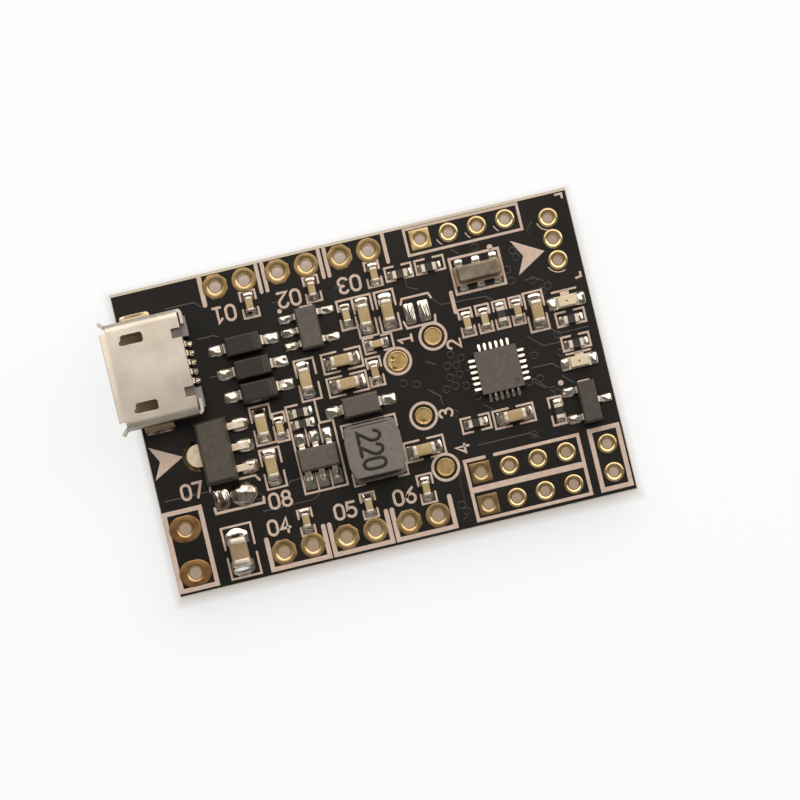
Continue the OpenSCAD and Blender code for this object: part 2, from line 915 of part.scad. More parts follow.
module inductor_terminals() {
    color("#d8d4ca")
        on_top(inductor_place)
            for (side = [-1, 1])
                translate([side * (base_width[0] - terminal_size[0]) / 2, 0, film + terminal_sheet / 2])
                    cube([terminal_size[0], terminal_size[1], terminal_sheet], center = true);
}

// Ceramic base of the resonator
module resonator_block() {
    translate([0, 0, film + plating + resonator_base[2] / 2])
        cube(resonator_base, center = true);
}

module resonator_body() {
    color("#8c7c68") on_top(resonator_place) resonator_block();
}

// Drawn metal lid with a stepped rim
module resonator_lid() {
    outline = softened(rectangle(lid_size), lid_corner);
    color("#a8a090")
        on_top(resonator_place)
            translate([0, lid_offset, film + plating + resonator_base[2]]) {
                linear_extrude(lid_size[2] - lid_step) polygon(outline);
                linear_extrude(lid_size[2]) polygon(inset(outline, lid_step));
            }
}

module resonator_terminals() {
    band = [resonator_band, resonator_base[1] + 2 * plating, resonator_band_height];
    color("#d8d4ca")
        on_top(resonator_place)
            difference() {
                for (k = [-1:1])
                    translate([k * resonator_pitch, 0, film + band[2] / 2])
                        cube(band, center = true);
                resonator_block();
            }
}

module lamp_substrates() {
    color("#efe9d8")
        for (place = lamp_places)
            on_top(place)
                translate([0, 0, film + lamp_size[2] / 2])
                    cube([lamp_size[0] - 2 * lamp_terminal, lamp_size[1], lamp_size[2]], center = true);
}

module lamp_terminals() {
    color("#d8d4ca")
        for (place = lamp_places)
            for (side = [-1, 1])
                on_top(place)
                    translate([side * (lamp_size[0] - lamp_terminal) / 2, 0, film + lamp_size[2] / 2])
                        cube([lamp_terminal, lamp_size[1], lamp_size[2]], center = true);
}

module lamp_lenses() {
    base = film + lamp_size[2];
    color("#f1e4b4")
        for (place = lamp_places)
            on_top(place)
                moulded(lens_size[0], lens_size[1], base, base, base + lens_size[2]);
}

// Ceramic block of a chip capacitor
module chip_block(chip) {
    size = [chip[1] - 2 * plating, chip[2] - 2 * plating];
    translate([0, 0, film + chip[2] / 2])
        along_x(chip[0] - 2 * plating)
            polygon(softened(rectangle(size), chip_edge));
}

// Metal caps on both ends of a chip capacitor
module chip_caps(chip) {
    difference() {
        for (side = [-1, 1])
            translate([side * (chip[0] - chip[3]) / 2, 0, film + chip[2] / 2])
                along_x(chip[3])
                    polygon(softened(rectangle([chip[1], chip[2]]), chip_edge + plating));
        chip_block(chip);
    }
}

module supply_capacitor_body() {
    color("#a08a68") on_top(supply_capacitor_place) chip_block(supply_chip);
}

module supply_capacitor_ends() {
    color("#d8d4ca") on_top(supply_capacitor_place) chip_caps(supply_chip);
}

module medium_capacitor_bodies() {
    color("#b39b62")
        for (place = medium_capacitor_places)
            on_top(place) chip_block(medium_chip);
}

module medium_capacitor_ends() {
    color("#d8d4ca")
        for (place = medium_capacitor_places)
            on_top(place) chip_caps(medium_chip);
}

module small_capacitor_bodies() {
    color("#b09a6e") {
        for (place = small_capacitor_places)
            on_top(place) chip_block(small_chip);
        for (place = decoupling_places)
            underneath(place) chip_block(small_chip);
    }
}

module small_capacitor_ends() {
    color("#d8d4ca") {
        for (place = small_capacitor_places)
            on_top(place) chip_caps(small_chip);
        for (place = decoupling_places)
            underneath(place) chip_caps(small_chip);
    }
}

// Alumina plate of a chip resistor
module resistor_plate() {
    size = [resistor_chip[0] - 2 * plating, resistor_chip[1], resistor_chip[2] - 2 * plating];
    translate([0, 0, film + resistor_chip[2] / 2])
        cube(size, center = true);
}

// Glass coat between the resistor's ends
module resistor_coat() {
    translate([0, 0, film + resistor_chip[2] - plating + coat_thickness / 2])
        cube([resistor_chip[0] - 2 * resistor_chip[3], resistor_chip[1], coat_thickness], center = true);
}

module resistor_clips() {
    difference() {
        for (side = [-1, 1])
            translate([side * (resistor_chip[0] - resistor_chip[3]) / 2, 0, film + resistor_chip[2] / 2])
                cube([resistor_chip[3], resistor_chip[1], resistor_chip[2]], center = true);
        resistor_plate();
    }
}

// Puts its child at every resistor on both faces
module each_resistor() {
    for (place = resistor_places)
        on_top(place) children();
    for (place = gate_resistor_places)
        underneath(place) children();
}

module resistor_substrates() {
    color("#e9e6df") each_resistor() resistor_plate();
}

module resistor_coats() {
    color("#2b2a29") each_resistor() resistor_coat();
}

module resistor_ends() {
    color("#d8d4ca") each_resistor() resistor_clips();
}

// Solder under and against one terminal whose end face stands at +X
module joint(land, face) {
    upright(land[2])
        polygon(concat(
            [[face, film], [land[0], film], [land[0], 0], [land[1], 0]],
            arc([land[1], film + land[3]], [land[1] - face, land[3]], 270, 180, fillet_steps)
        ));
}

// Solder at both ends of a part
module end_joints(land, face) {
    for (side = [0, 1])
        mirror([side, 0, 0])
            joint(land, face);
}

// Solder at every lead of a gull-wing package
module gull_joints(package, land) {
    for (side = [0, 1])
        mirror([side, 0, 0])
            for (y = package[4 + side])
                translate([0, y, 0])
                    joint(land, package[2] / 2);
}

// Solder along the four sides of a square package
module square_joints(pins, pitch, land, face) {
    for (side = [0:3])
        rotate(90 * side)
            for (i = [0:pins - 1])
                translate([0, (i - (pins - 1) / 2) * pitch, 0])
                    joint(land, face);
}

module regulator_joints() {
    for (k = [-1:1])
        translate([0, k * regulator_pitch, 0])
            joint(regulator_land, regulator_lead_reach);
    tab_joint();
}

// Solder round the half-round tab, where it stands clear of the body
module tab_joint() {
    crest = film + tab_solder;
    section = concat(
        [[tab_radius, film], [0, film], [0, 0], [tab_land_radius, 0]],
        arc([tab_land_radius, crest], [tab_land_radius - tab_radius, tab_solder], 270, 180, fillet_steps)
    );
    clear = 2 * tab_land_radius;
    middle = tab_radius - tab_reach;
    intersection() {
        translate([middle, 0, 0])
            rotate_extrude($fn = round_steps) polygon(section);
        translate([min(-regulator_across / 2, middle) - clear / 2, 0, 0])
            cube([clear, 2 * clear, clear], center = true);
    }
}

// Solder at the port's contacts and legs
module port_joints() {
    for (k = [-2:2])
        translate([shell_rear, port_y + k * contact_pitch, top_z])
            joint(contact_land, contact_reach);
    for (turn = [90, -90])
        translate([leg_x, port_y, top_z])
            rotate(turn)
                joint(leg_land, (shell_width - shell_sheet) / 2 + leg_foot);
}

module solder_joints() {
    color("#dcdad4") {
        port_joints();
        on_top(regulator_place) regulator_joints();
        on_top(low_dropout_place) gull_joints(five_lead, wide_land);
        on_top(boost_converter_place) gull_joints(six_lead, wide_land);
        on_top(transistor_place) gull_joints(three_lead, transistor_land);
        on_top(motion_sensor_place) square_joints(sensor_pins, sensor_pitch, sensor_land, sensor_size / 2);
        on_top(supply_capacitor_place) end_joints(supply_land, supply_length / 2);
        on_top(inductor_place) end_joints(inductor_land, base_width[0] / 2);
        for (k = [-1:1])
            on_top(resonator_place + [k * resonator_pitch, 0, 90])
                end_joints(resonator_land, resonator_base[1] / 2 + plating);
        for (place = diode_places)
            on_top(place) gull_joints(two_lead, diode_land);
        for (place = lamp_places)
            on_top(place) end_joints(lamp_land, lamp_size[0] / 2);
        for (place = medium_capacitor_places)
            on_top(place) end_joints(medium_land, medium_length / 2);
        for (place = small_capacitor_places)
            on_top(place) end_joints(small_land, small_length / 2);
        for (place = resistor_places)
            on_top(place) end_joints(resistor_land, small_length / 2);
    }
}

module underside_joints() {
    color("#dcdad4") {
        underneath([0, 0, 0])
            square_joints(processor_pins, processor_pitch, processor_land, processor_span / 2);
        for (place = switch_places)
            underneath(place) gull_joints(three_lead, transistor_land);
        for (place = decoupling_places)
            underneath(place) end_joints(small_land, small_length / 2);
        for (place = gate_resistor_places)
            underneath(place) end_joints(resistor_land, small_length / 2);
    }
}

// Long drop of solder that joins two lands of the battery selector, beside a tinned third land
module solder_bridge() {
    width = 1.64;
    stretch = 0.16;
    sphere_radius = (width * width / 4 + bridge_height * bridge_height) / (2 * bridge_height);
    sunk = sphere_radius - bridge_height;
    round = [sphere_radius, sphere_radius];
    reach = 75;
    third_land = [1.14, 1.5];
    third_x = -1.57;
    color("#dcdad4")
        on_top(bridge_place) {
            intersection() {
                translate([0, 0, -sunk])
                    rotate([0, 90, 0])
                        rotate_extrude($fn = round_steps)
                            polygon(concat(
                                [[0, -sphere_radius - stretch]],
                                arc([0, -stretch], round, -reach, 0, 2 * fillet_steps),
                                arc([0, stretch], round, 0, reach, 2 * fillet_steps),
                                [[0, sphere_radius + stretch]]
                            ));
                translate([0, 0, sphere_radius])
                    cube(2 * sphere_radius, center = true);
            }
            translate([third_x, 0, 0])
                upright(third_land[1])
                    polygon(concat(
                        [[-third_land[0] / 2, 0], [third_land[0] / 2, 0]],
                        arc([0, film], [third_land[0] / 2, 3 * film], 0, 180, 2 * fillet_steps)
                    ));
        }
}

circuit_board();
battery_eyelets();
motor_eyelets();
four_pin_eyelets();
three_pin_eyelets();
eight_pin_eyelets();
two_pin_eyelets();
test_lands();
jumper_lands();
usb_shell();
usb_insulator();
usb_contacts();
regulator_body();
regulator_leads();
low_dropout_body();
low_dropout_leads();
boost_converter_body();
boost_converter_leads();
motion_sensor_body();
motion_sensor_terminals();
transistor_body();
transistor_leads();
diode_bodies();
diode_leads();
inductor_core();
inductor_winding();
inductor_resin();
inductor_terminals();
resonator_body();
resonator_lid();
resonator_terminals();
lamp_substrates();
lamp_lenses();
lamp_terminals();
supply_capacitor_body();
supply_capacitor_ends();
medium_capacitor_bodies();
medium_capacitor_ends();
small_capacitor_bodies();
small_capacitor_ends();
resistor_substrates();
resistor_coats();
resistor_ends();
solder_joints();
solder_bridge();
processor_body();
processor_leads();
motor_switch_bodies();
motor_switch_leads();
underside_joints();
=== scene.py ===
"""Finishes a flight controller board: solder, plated holes, print, tracks, materials, light and camera.

Shapes are worked out in millimetres in the part's own frame, and stored in metres.
"""
import json
import math

import bmesh
import bpy
import numpy as np
from mathutils import Matrix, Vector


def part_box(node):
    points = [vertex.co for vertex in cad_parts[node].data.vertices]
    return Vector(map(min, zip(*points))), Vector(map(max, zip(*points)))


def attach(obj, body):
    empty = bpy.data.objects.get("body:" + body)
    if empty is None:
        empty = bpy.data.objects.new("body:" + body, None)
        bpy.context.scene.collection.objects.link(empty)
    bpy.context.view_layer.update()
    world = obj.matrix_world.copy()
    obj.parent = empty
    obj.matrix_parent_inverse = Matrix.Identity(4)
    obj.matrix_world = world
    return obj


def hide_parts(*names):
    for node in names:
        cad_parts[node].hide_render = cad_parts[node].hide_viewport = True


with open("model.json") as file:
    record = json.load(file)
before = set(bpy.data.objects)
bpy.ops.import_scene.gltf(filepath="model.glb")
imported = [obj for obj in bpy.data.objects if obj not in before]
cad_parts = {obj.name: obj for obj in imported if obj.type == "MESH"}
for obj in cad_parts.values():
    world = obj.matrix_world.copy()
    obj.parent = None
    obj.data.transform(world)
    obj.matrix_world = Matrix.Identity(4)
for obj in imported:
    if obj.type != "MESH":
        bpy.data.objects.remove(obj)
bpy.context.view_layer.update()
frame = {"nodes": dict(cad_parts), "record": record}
nodes = frame["nodes"]

MM = 0.001
MERGE, TINY = 1e-5 * MM, 1e-6
UNDER, TOP = (corner.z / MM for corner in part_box("circuit_board"))
MIDDLE = (UNDER + TOP) / 2
vary = np.random.default_rng(11)


# Meshes

def cells(rows, columns, ring_rows, ring_columns):
    """Corner numbers of every cell between the lines of a grid; a ring joins its last line to its first."""
    i, j = np.meshgrid(
        np.arange(rows - (not ring_rows)), np.arange(columns - (not ring_columns)), indexing="ij"
    )
    below, beside = (i + 1) % rows, (j + 1) % columns
    corners = [i * columns + j, i * columns + beside, below * columns + beside, below * columns + j]
    return np.stack(corners, -1).reshape(-1, 4)


def make_piece(name, patches, material, replaces=(), facing=None, sharp=40):
    """One mesh from patches of points.

    A patch is (points, ring_rows, ring_columns) with points as copies x rows x columns x 3, and may end with a mask
    of the cells that are kept. Doubled points are merged. Open sheets have each face turned to the side of Z that
    facing gives, or stay as they are where it is 0, and closed forms are turned outwards.
    """
    points, quads, start = [], [], 0
    for grid, ring_rows, ring_columns, *kept in patches:
        copies, rows, columns = grid.shape[:3]
        found = cells(rows, columns, ring_rows, ring_columns)
        for mask in kept:
            found = found[mask.ravel()]
        offset = start + np.arange(copies)[:, None, None] * rows * columns
        quads.append((found + offset).reshape(-1, 4))
        points.append(grid.reshape(-1, 3))
        start += copies * rows * columns
    used, quads = np.unique(np.concatenate(quads), return_inverse=True)
    points, quads = np.concatenate(points)[used], quads.reshape(-1, 4)
    if facing:
        across = np.cross(points[quads[:, 2]] - points[quads[:, 0]], points[quads[:, 3]] - points[quads[:, 1]])
        wrong = across[:, 2] * facing < 0
        quads[wrong] = quads[wrong, ::-1]
    mesh = bpy.data.meshes.new(name)
    mesh.vertices.add(len(points))
    mesh.vertices.foreach_set("co", (points * MM).astype(np.float32).ravel())
    mesh.loops.add(quads.size)
    mesh.loops.foreach_set("vertex_index", quads.astype(np.int32).ravel())
    mesh.polygons.add(len(quads))
    mesh.polygons.foreach_set("loop_start", np.arange(0, quads.size, 4, dtype=np.int32))
    mesh.update(calc_edges=True)
    work = bmesh.new()
    work.from_mesh(mesh)
    bmesh.ops.remove_doubles(work, verts=work.verts, dist=MERGE)
    bmesh.ops.dissolve_degenerate(work, edges=work.edges, dist=MERGE)
    if facing is None:
        bmesh.ops.recalc_face_normals(work, faces=work.faces)
    work.to_mesh(mesh)
    work.free()
    mesh.polygons.foreach_set("use_smooth", np.ones(len(mesh.polygons), bool))
    mesh.set_sharp_from_angle(angle=math.radians(sharp))
    mesh.materials.append(material)
    piece = bpy.data.objects.new(name, mesh)
    bpy.context.scene.collection.objects.link(piece)
    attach(piece, "root")
    if replaces:
        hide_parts(*replaces)
    return piece


def turned(points, angle):
    """Points turned about Z by an angle in degrees."""
    c, s = math.cos(math.radians(angle)), math.sin(math.radians(angle))
    return points @ np.array([[c, s], [-s, c]])


# Printed lines and spots

# Height of the ink, and the step between lines that cross, so that no two faces coincide
INK, LAYER = 0.018, 0.001


def stroke(path, width, height=INK, base=TOP, closed=False):
    """A printed line along a path.

    Each section lies across the mitre of the path, flat on top between two steep sides. A round end adds sections
    beyond the last point, whose width falls as the cosine while their distance grows as the sine.
    """
    path = np.asarray(path, float)
    steps = np.diff(np.vstack([path, path[:1]]) if closed else path, axis=0)
    ways = steps / np.linalg.norm(steps, axis=1, keepdims=True)
    before = np.roll(ways, 1, 0) if closed else np.vstack([ways[:1], ways])
    after = ways if closed else np.vstack([ways, ways[-1:]])
    left = np.stack([-(before + after)[:, 1], (before + after)[:, 0]], 1)
    mitre = left / np.maximum(1 + np.sum(before * after, 1, keepdims=True), 0.4)
    half = width / 2
    if not closed:
        angle = np.radians([80, 55, 28])[:, None]
        first = path[0] - ways[0] * np.sin(angle) * half
        last = path[-1] + ways[-1] * np.sin(angle[::-1]) * half
        path = np.vstack([first, path, last])
        mitre = np.vstack([mitre[0] * np.cos(angle), mitre, mitre[-1] * np.cos(angle[::-1])])
    side = 1 - min(0.5, 0.02 / half)
    across = np.array([-1, -side, side, 1])
    flat = path[:, None, :] + mitre[:, None, :] * (half * across)[None, :, None]
    level = np.broadcast_to(base + np.array([0, height, height, 0]), flat.shape[:2])
    return np.concatenate([flat, level[..., None]], -1)[None], closed, False


def spot(outline, height=INK, base=TOP):
    """A printed spot: rings of its outline drawn in towards the middle of the shape, flat up to a steep rim."""
    outline = np.asarray(outline, float)
    centre = outline.mean(0)
    shrink = np.array([1, 0.96, 0.5, 0])
    flat = centre + (outline - centre) * shrink[:, None, None]
    level = np.broadcast_to((base + np.array([0, height, height, height]))[:, None], flat.shape[:2])
    return np.concatenate([flat, level[..., None]], -1)[None], False, True


def circle(x, y, radius, steps=28):
    """Points of a circle."""
    angle = np.linspace(0, 2 * np.pi, steps, endpoint=False)
    return np.stack([x + radius * np.cos(angle), y + radius * np.sin(angle)], 1)


def brackets(x, y, wide, high, gap, width, height):
    """Two facing brackets round a chip part, wide and high outside and open at the middle of the long sides."""
    a, b = (wide - width) / 2, (high - width) / 2
    if wide > high:
        half = np.array([[gap / 2, b], [a, b], [a, -b], [gap / 2, -b]])
    else:
        half = np.array([[-a, gap / 2], [-a, b], [a, b], [a, gap / 2]])
    return [stroke(half * side + [x, y], width, height) for side in (1, -1)]


def arc_path(centre, radii, start, end, steps=10):
    """Points of an elliptic arc, angles in degrees."""
    angle = np.radians(np.linspace(start, end, steps))
    return np.stack([centre[0] + radii[0] * np.cos(angle), centre[1] + radii[1] * np.sin(angle)], 1)


# Plain numerals on a body 0.6 wide and 1 high, each as a list of paths
NUMERALS = {
    "0": [np.vstack([arc_path((0.3, 0.7), (0.3, 0.3), 180, 0), arc_path((0.3, 0.3), (0.3, 0.3), 0, -180)])],
    "1": [np.array([[0.08, 0.78], [0.32, 1], [0.32, 0]]), np.array([[0.08, 0], [0.56, 0]])],
    "2": [np.vstack([arc_path((0.3, 0.7), (0.3, 0.3), 165, -35), [[0, 0], [0.6, 0]]])],
    "3": [
        arc_path((0.28, 0.76), (0.28, 0.24), 150, -90),
        arc_path((0.28, 0.27), (0.31, 0.27), 90, -150),
    ],
    "4": [np.array([[0.46, 0], [0.46, 1], [0, 0.3], [0.62, 0.3]])],
    "5": [np.vstack([[[0.55, 1], [0.06, 1], [0.03, 0.55]], arc_path((0.27, 0.32), (0.32, 0.32), 125, -145)])],
    "6": [np.vstack([[[0.5, 1], [0.18, 0.72]], arc_path((0.3, 0.3), (0.3, 0.3), 160, 515, 18)])],
    "7": [np.array([[0, 1], [0.58, 1], [0.2, 0]])],
    "8": [
        arc_path((0.3, 0.75), (0.25, 0.25), 0, 337.5, 16),
        arc_path((0.3, 0.27), (0.3, 0.27), 0, 337.5, 16),
    ],
}


def number(text, x, y, high, width, angle=0, height=INK, base=TOP, narrow=1.0):
    """A plain number, its numerals side by side about a middle point and turned by an angle."""
    found = []
    for place, numeral in enumerate(text):
        shift = np.array([(place - (len(text) - 1) / 2) * 0.85 - 0.3, -0.5])
        size = np.array([narrow, 1]) * high
        found += [
            stroke(turned((path + shift) * size, angle) + [x, y], width, height + LAYER * k, base, numeral in "08")
            for k, path in enumerate(NUMERALS[numeral])
        ]
    return found


# First holes of the motors, and the holes of the headers
MOTOR_FIRST = [(x + 4.4 * i, y) for x, y in ((-8.9, 9.64), (-8.47, -9.2)) for i in range(3)]
FOUR_PIN = [(5.57 + 2 * k, 9.57) for k in range(4)]
THREE_PIN = [(14.47, 5.97 + 1.5 * k) for k in range(3)]
EIGHT_PIN = [[(5.91 + 2 * k, -7.01 - 2.26 * row) for k in range(4)] for row in range(2)]
TWO_PIN = [(14.8, -9.1 + 2 * k) for k in range(2)]

# Middles of the round test lands
CONTACTS = [(2.13, 1.74), (4.88, 2.84), (2.99, -2.34), (3.64, -6.12)]

# Middle, width and height of the brackets round the chip parts
CHIP_FRAMES = [
    (-4.18, 1.93, 1.49, 3.0), (-1.57, 2.67, 2.88, 1.51), (-1.57, 0.99, 2.88, 1.44), (-0.52, 5.67, 1.21, 2.19),
    (0.67, 5.28, 1.43, 2.98), (2.25, 5.27, 1.45, 2.98), (1.12, 3.21, 2.15, 1.2), (0.48, 1.39, 1.09, 2.12),
    (7.37, 3.22, 1.06, 2.06), (8.6, 3.22, 1.06, 2.06), (9.79, 3.22, 1.03, 2.06), (10.92, 3.22, 0.96, 2.06),
    (12.19, 2.88, 1.44, 2.88), (14.39, 1.91, 2.13, 1.1), (14.35, 0.2, 2.06, 1.1), (6.36, -3.68, 2.13, 1.17),
    (9.03, -3.78, 2.95, 1.37), (11.98, -4.12, 1.03, 2.06), (2.55, -4.55, 2.88, 1.48), (-7.89, -0.38, 1.51, 2.81),
    (-7.89, -3.44, 1.51, 2.88), (-6.72, -0.8, 0.96, 2.13), (3.61, 7.68, 1.99, 1.1), (5.81, 7.68, 2.13, 1.1),
    (-11.32, -8.45, 2.2, 3.71), (-6.87, 7.92, 1.2, 1.99), (-2.43, 7.95, 1.17, 1.92), (-6.51, -7.56, 1.1, 1.92),
    (-2.07, -7.44, 1.13, 1.89), (2.03, -7.25, 1.17, 2.13), (1.88, 7.98, 1.12, 1.9),
]


# Gap and line of the brackets, the lines above the lamps, and the marks at the inductor's corners
BRACKET_GAP, BRACKET_LINE = 0.62, 0.15
LAMP_LINES = (3.84, -0.52)
CORNER_MARK = np.array([[1.88, 1.3], [1.88, 2.12], [1.2, 2.12]])

# Printed lines as (width, closed, path) and, where they cross others, the height that they have over the usual one
LINES = [
    # Frames round the rows of holes
    (0.32, True, [(-15.9, -4.86), (-13.4, -4.86), (-13.4, -10.24), (-15.9, -10.24)]),
    *[
        (0.32, False, [(left, -8.1), (left, -10.22), (right, -10.22), (right, -8.1)])
        for left, right in ((-9.47, -5.47), (-5.05, -1.05), (-0.64, 3.4))
    ],
    (0.33, False, [(-9.86, 10.45), (-9.86, 8.55)]),
    *[(0.27, False, [(x, 10.45), (x, 8.55)]) for x in (-5.86, -5.44, -1.46, -1.06, 3.08)],
    (0.19, True, [(4.58, 10.42), (12.57, 10.42), (12.57, 8.61), (4.58, 8.61)]),
    (0.24, False, [(6.36, -6.05), (4.98, -6.05), (4.98, -10.2), (12.94, -10.2), (12.94, -6.05), (7.1, -6.05)]),
    (0.42, False, [(5.2, -8.12), (12.7, -8.12)], 2 * LAYER),
    (0.32, True, [(13.78, -6.01), (15.76, -6.01), (15.76, -10.16), (13.78, -10.16)]),
    (0.19, True, [(7.17, 7.73), (10.62, 7.73), (10.62, 5.24), (7.17, 5.24)]),
    # Marks of the jumper, the selector and the corners
    (0.16, False, [(3.23, 5.48), (3.37, 5.83), (5.22, 5.83), (5.36, 5.48)]),
    (0.16, False, [(3.16, 4.25), (3.3, 3.77), (5.29, 3.77), (5.36, 4.25)]),
    (0.2, False, [(-12.42, -5.22), (-12.38, -5.58), (-9.02, -5.58), (-8.98, -5.22)]),
    (0.15, False, [(-12.44, -3.98), (-12.4, -3.64)]),
    (0.17, False, [(-10.3, -3.62), (-9.2, -3.62), (-8.97, -3.98)]),
    (0.16, False, [(15.31, 10.38), (15.74, 10.38), (15.74, 10.1)]),
    (0.16, False, [(15.74, 4.8), (15.74, 4.52), (15.4, 4.47)]),
    # Marks of the packages and the lamps
    (0.28, False, [(6.78, 5.48), (6.78, 4.1)]),
    *[(0.14, False, [(13.5, y), (15.18, y)]) for y in LAMP_LINES],
    (0.2, False, [(13.87, -2.55), (14.56, -2.55)]),
    (0.13, False, [(-3.56, 6.9), (-2.74, 6.9)]),
    (0.15, False, [
        (-5.3, 0.42), (-6.12, 0.42), (-6.12, -5.7), (-3.14, -5.7), (-3.14, -1.15), (-4.07, -1.15), (-4.07, 0.42),
    ]),
    *[(0.12, False, [(x, a), (x, b)], 2 * LAYER) for x in (-5.14, -4.16) for a, b in ((-1.25, -2.5), (-4.4, -5.6))],
    *[(0.15, False, CORNER_MARK * side + [-0.82, -3.85]) for side in ((-1, 1), (1, 1), (1, -1), (-1, -1))],
    (0.07, False, [(-2.1, -1.73), (0.46, -1.73)], -3 * LAYER),
    # Rings round the test lands, and ends of rings beside the pin holes
    *[(0.2, True, circle(x, y, 0.9), 6 * LAYER) for x, y in CONTACTS],
    *[(0.08, False, arc_path(place, (0.93, 0.93), 200, 228)) for place in FOUR_PIN[1:]],
    (0.08, False, arc_path(THREE_PIN[2], (0.86, 0.86), 196, 276)),
    (0.08, False, arc_path(THREE_PIN[0], (0.84, 0.84), 206, 292)),
]
SPOTS = [
    circle(10.1, 7.92, 0.2), circle(12.67, -2.31, 0.19), circle(-4.97, 6.96, 0.16),
    # Arrows the way the board flies
    [(-15.92, -0.08), (-13.72, -1.24), (-15.92, -2.41), (-15.33, -1.22)],
    [(11.54, 8.02), (13.72, 6.78), (11.61, 5.55), (12.2, 6.79)],
    *[[(14.05, y), (14.68, y), (14.68, y - 0.34), (14.05, y - 0.34)] for y in LAMP_LINES],
]
# Numbers beside the holes and lands, as (text, x, y, height, line, angle)
NUMBERS = [
    *[(text, x, 7.66, 1.03, 0.19, 180) for text, x in (("01", -8.7), ("02", -4.12), ("03", 0.12))],
    *[(text, x, -7.42, 1.0, 0.19, 0) for text, x in (("04", -8.42), ("05", -3.74), ("06", 0.42))],
    ("07", -13.65, -3.68, 1.0, 0.19, 0), ("08", -7.9, -5.66, 1.02, 0.19, 0),
    ("1", 2.98, 3.08, 0.9, 0.17, 90), ("2", 6.16, 1.98, 0.9, 0.17, 90),
    ("3", 4.52, -2.5, 0.9, 0.17, 90), ("4", 5.05, -5.15, 0.9, 0.17, 90),
]


def print_patches():
    """Every line, spot and number of the white print on the upper face."""
    found = []
    for place, (x, y, wide, high) in enumerate(CHIP_FRAMES):
        found += brackets(x, y, wide, high, BRACKET_GAP, BRACKET_LINE, INK + LAYER * (1 + place % 4))
    found += [stroke(path, width, INK + sum(lift), closed=closed) for width, closed, path, *lift in LINES]
    found += [spot(outline) for outline in SPOTS]
    for given in NUMBERS:
        found += number(*given)
    return found


# Copper under the mask

def track_patches():
    """Copper tracks and covered holes, which lift the mask in low lines and rings."""
    tracks = [
        [(5.22, 5.55), (5.91, 4.8), (9.0, 4.66), (9.48, 4.25)], [(11.19, 1.3), (12.09, 0.4), (13.32, 0.4)],
        [(-5.3, 7.6), (-4.9, 7.6), (-4.55, 7.95)], [(-0.95, 7.6), (-0.5, 7.6), (-0.2, 7.9)],
        [(-10.9, 6.35), (-9.8, 6.35), (-9.5, 6.2)], [(-10.6, 3.6), (-9.9, 3.6), (-9.55, 3.35)],
        [(-6.1, -4.6), (-6.9, -4.6), (-7.2, -4.9)], [(-15.6, -4.0), (-12.6, -4.0), (-12.2, -4.4)],
        [(10.95, -1.9), (11.6, -2.5), (12.2, -2.5)], [(12.9, -1.9), (13.5, -2.5)], [(10.9, -1.6), (12.1, -2.9)],
        [(11.0, -0.9), (12.4, -0.9), (12.8, -1.3)], [(5.2, -6.0), (4.4, -6.9), (4.4, -9.6), (4.0, -10.0)],
        [(3.9, 7.0), (3.9, 6.5), (4.6, 6.2)], [(12.9, 1.4), (13.3, 1.0), (15.4, 1.0)],
        [(-9.2, -6.2), (-5.6, -6.2), (-5.2, -5.9)], [(7.2, -2.6), (7.7, -3.0)], [(3.7, -0.7), (4.4, -1.3), (4.4, -2.0)],
        [(4.0, 1.2), (4.6, 0.9)], [(13.3, 8.9), (12.9, 8.5), (12.9, 8.1)], [(7.5, 8.3), (7.9, 7.95)],
        [(5.4, 8.35), (5.1, 8.1)], [(-3.1, 4.4), (-1.6, 4.4)], [(11.9, 5.1), (12.6, 5.1), (13.1, 4.8)],
        [(-12.6, 8.9), (-10.6, 8.9), (-10.2, 8.5)], [(6.2, -5.2), (9.8, -5.2), (10.3, -5.6)],
    ]
    holes = [
        (5.36, 0.61), (5.36, -0.21), (6.05, -0.14), (6.39, 0.95), (2.13, 0.13), (3.03, -0.14), (11.33, -0.08),
        (5.98, 0.52), (6.75, 0.2), (5.6, -0.85), (6.3, -1.0), (5.75, 1.3), (12.45, 5.0), (12.9, 4.15), (13.35, 4.4),
        (11.0, 5.3), (10.9, 6.1), (11.58, 7.3), (11.72, 6.8), (10.6, -1.75), (11.35, -1.7), (10.05, -5.35),
        (5.1, -2.7), (4.95, -0.95), (4.1, -8.9), (4.35, -9.4), (-9.3, -5.1), (12.3, -2.9), (13.15, -0.3),
        (13.2, 0.95), (9.1, 8.15), (6.9, -1.9),
    ]
    found = [stroke(path, 0.14, 0.012) for path in tracks]
    found += [stroke(circle(x, y, 0.24, 20), 0.1, 0.015, closed=True) for x, y in holes]
    return found


# Plated holes

BARREL_WALL, LAND_THICK, LAND_CROWN = 0.18, 0.06, 0.12
MOUTH, MOUTH_DEPTH = 0.2, 0.13
AROUND = np.linspace(0, 2 * np.pi, 64, endpoint=False)


def reach_of(form, size):
    """Distance of a land's edge from its middle, as a function of the angle around it."""
    c, s = np.abs(np.cos(AROUND)), np.abs(np.sin(AROUND))
    if form == "octagon":
        return size / 2 / np.cos((AROUND + np.pi / 8) % (np.pi / 4) - np.pi / 8)
    if form == "square":
        return size / 2 / np.maximum(c, s)
    if form == "slot":
        length, width = size
        run, radius = (length - width) / 2, width / 2
        side = radius / np.maximum(s, TINY)
        end = run * c + np.sqrt(np.maximum(radius ** 2 - (run * s) ** 2, 0))
        return np.where(c * side <= run, side, end)
    return np.full_like(AROUND, size / 2)


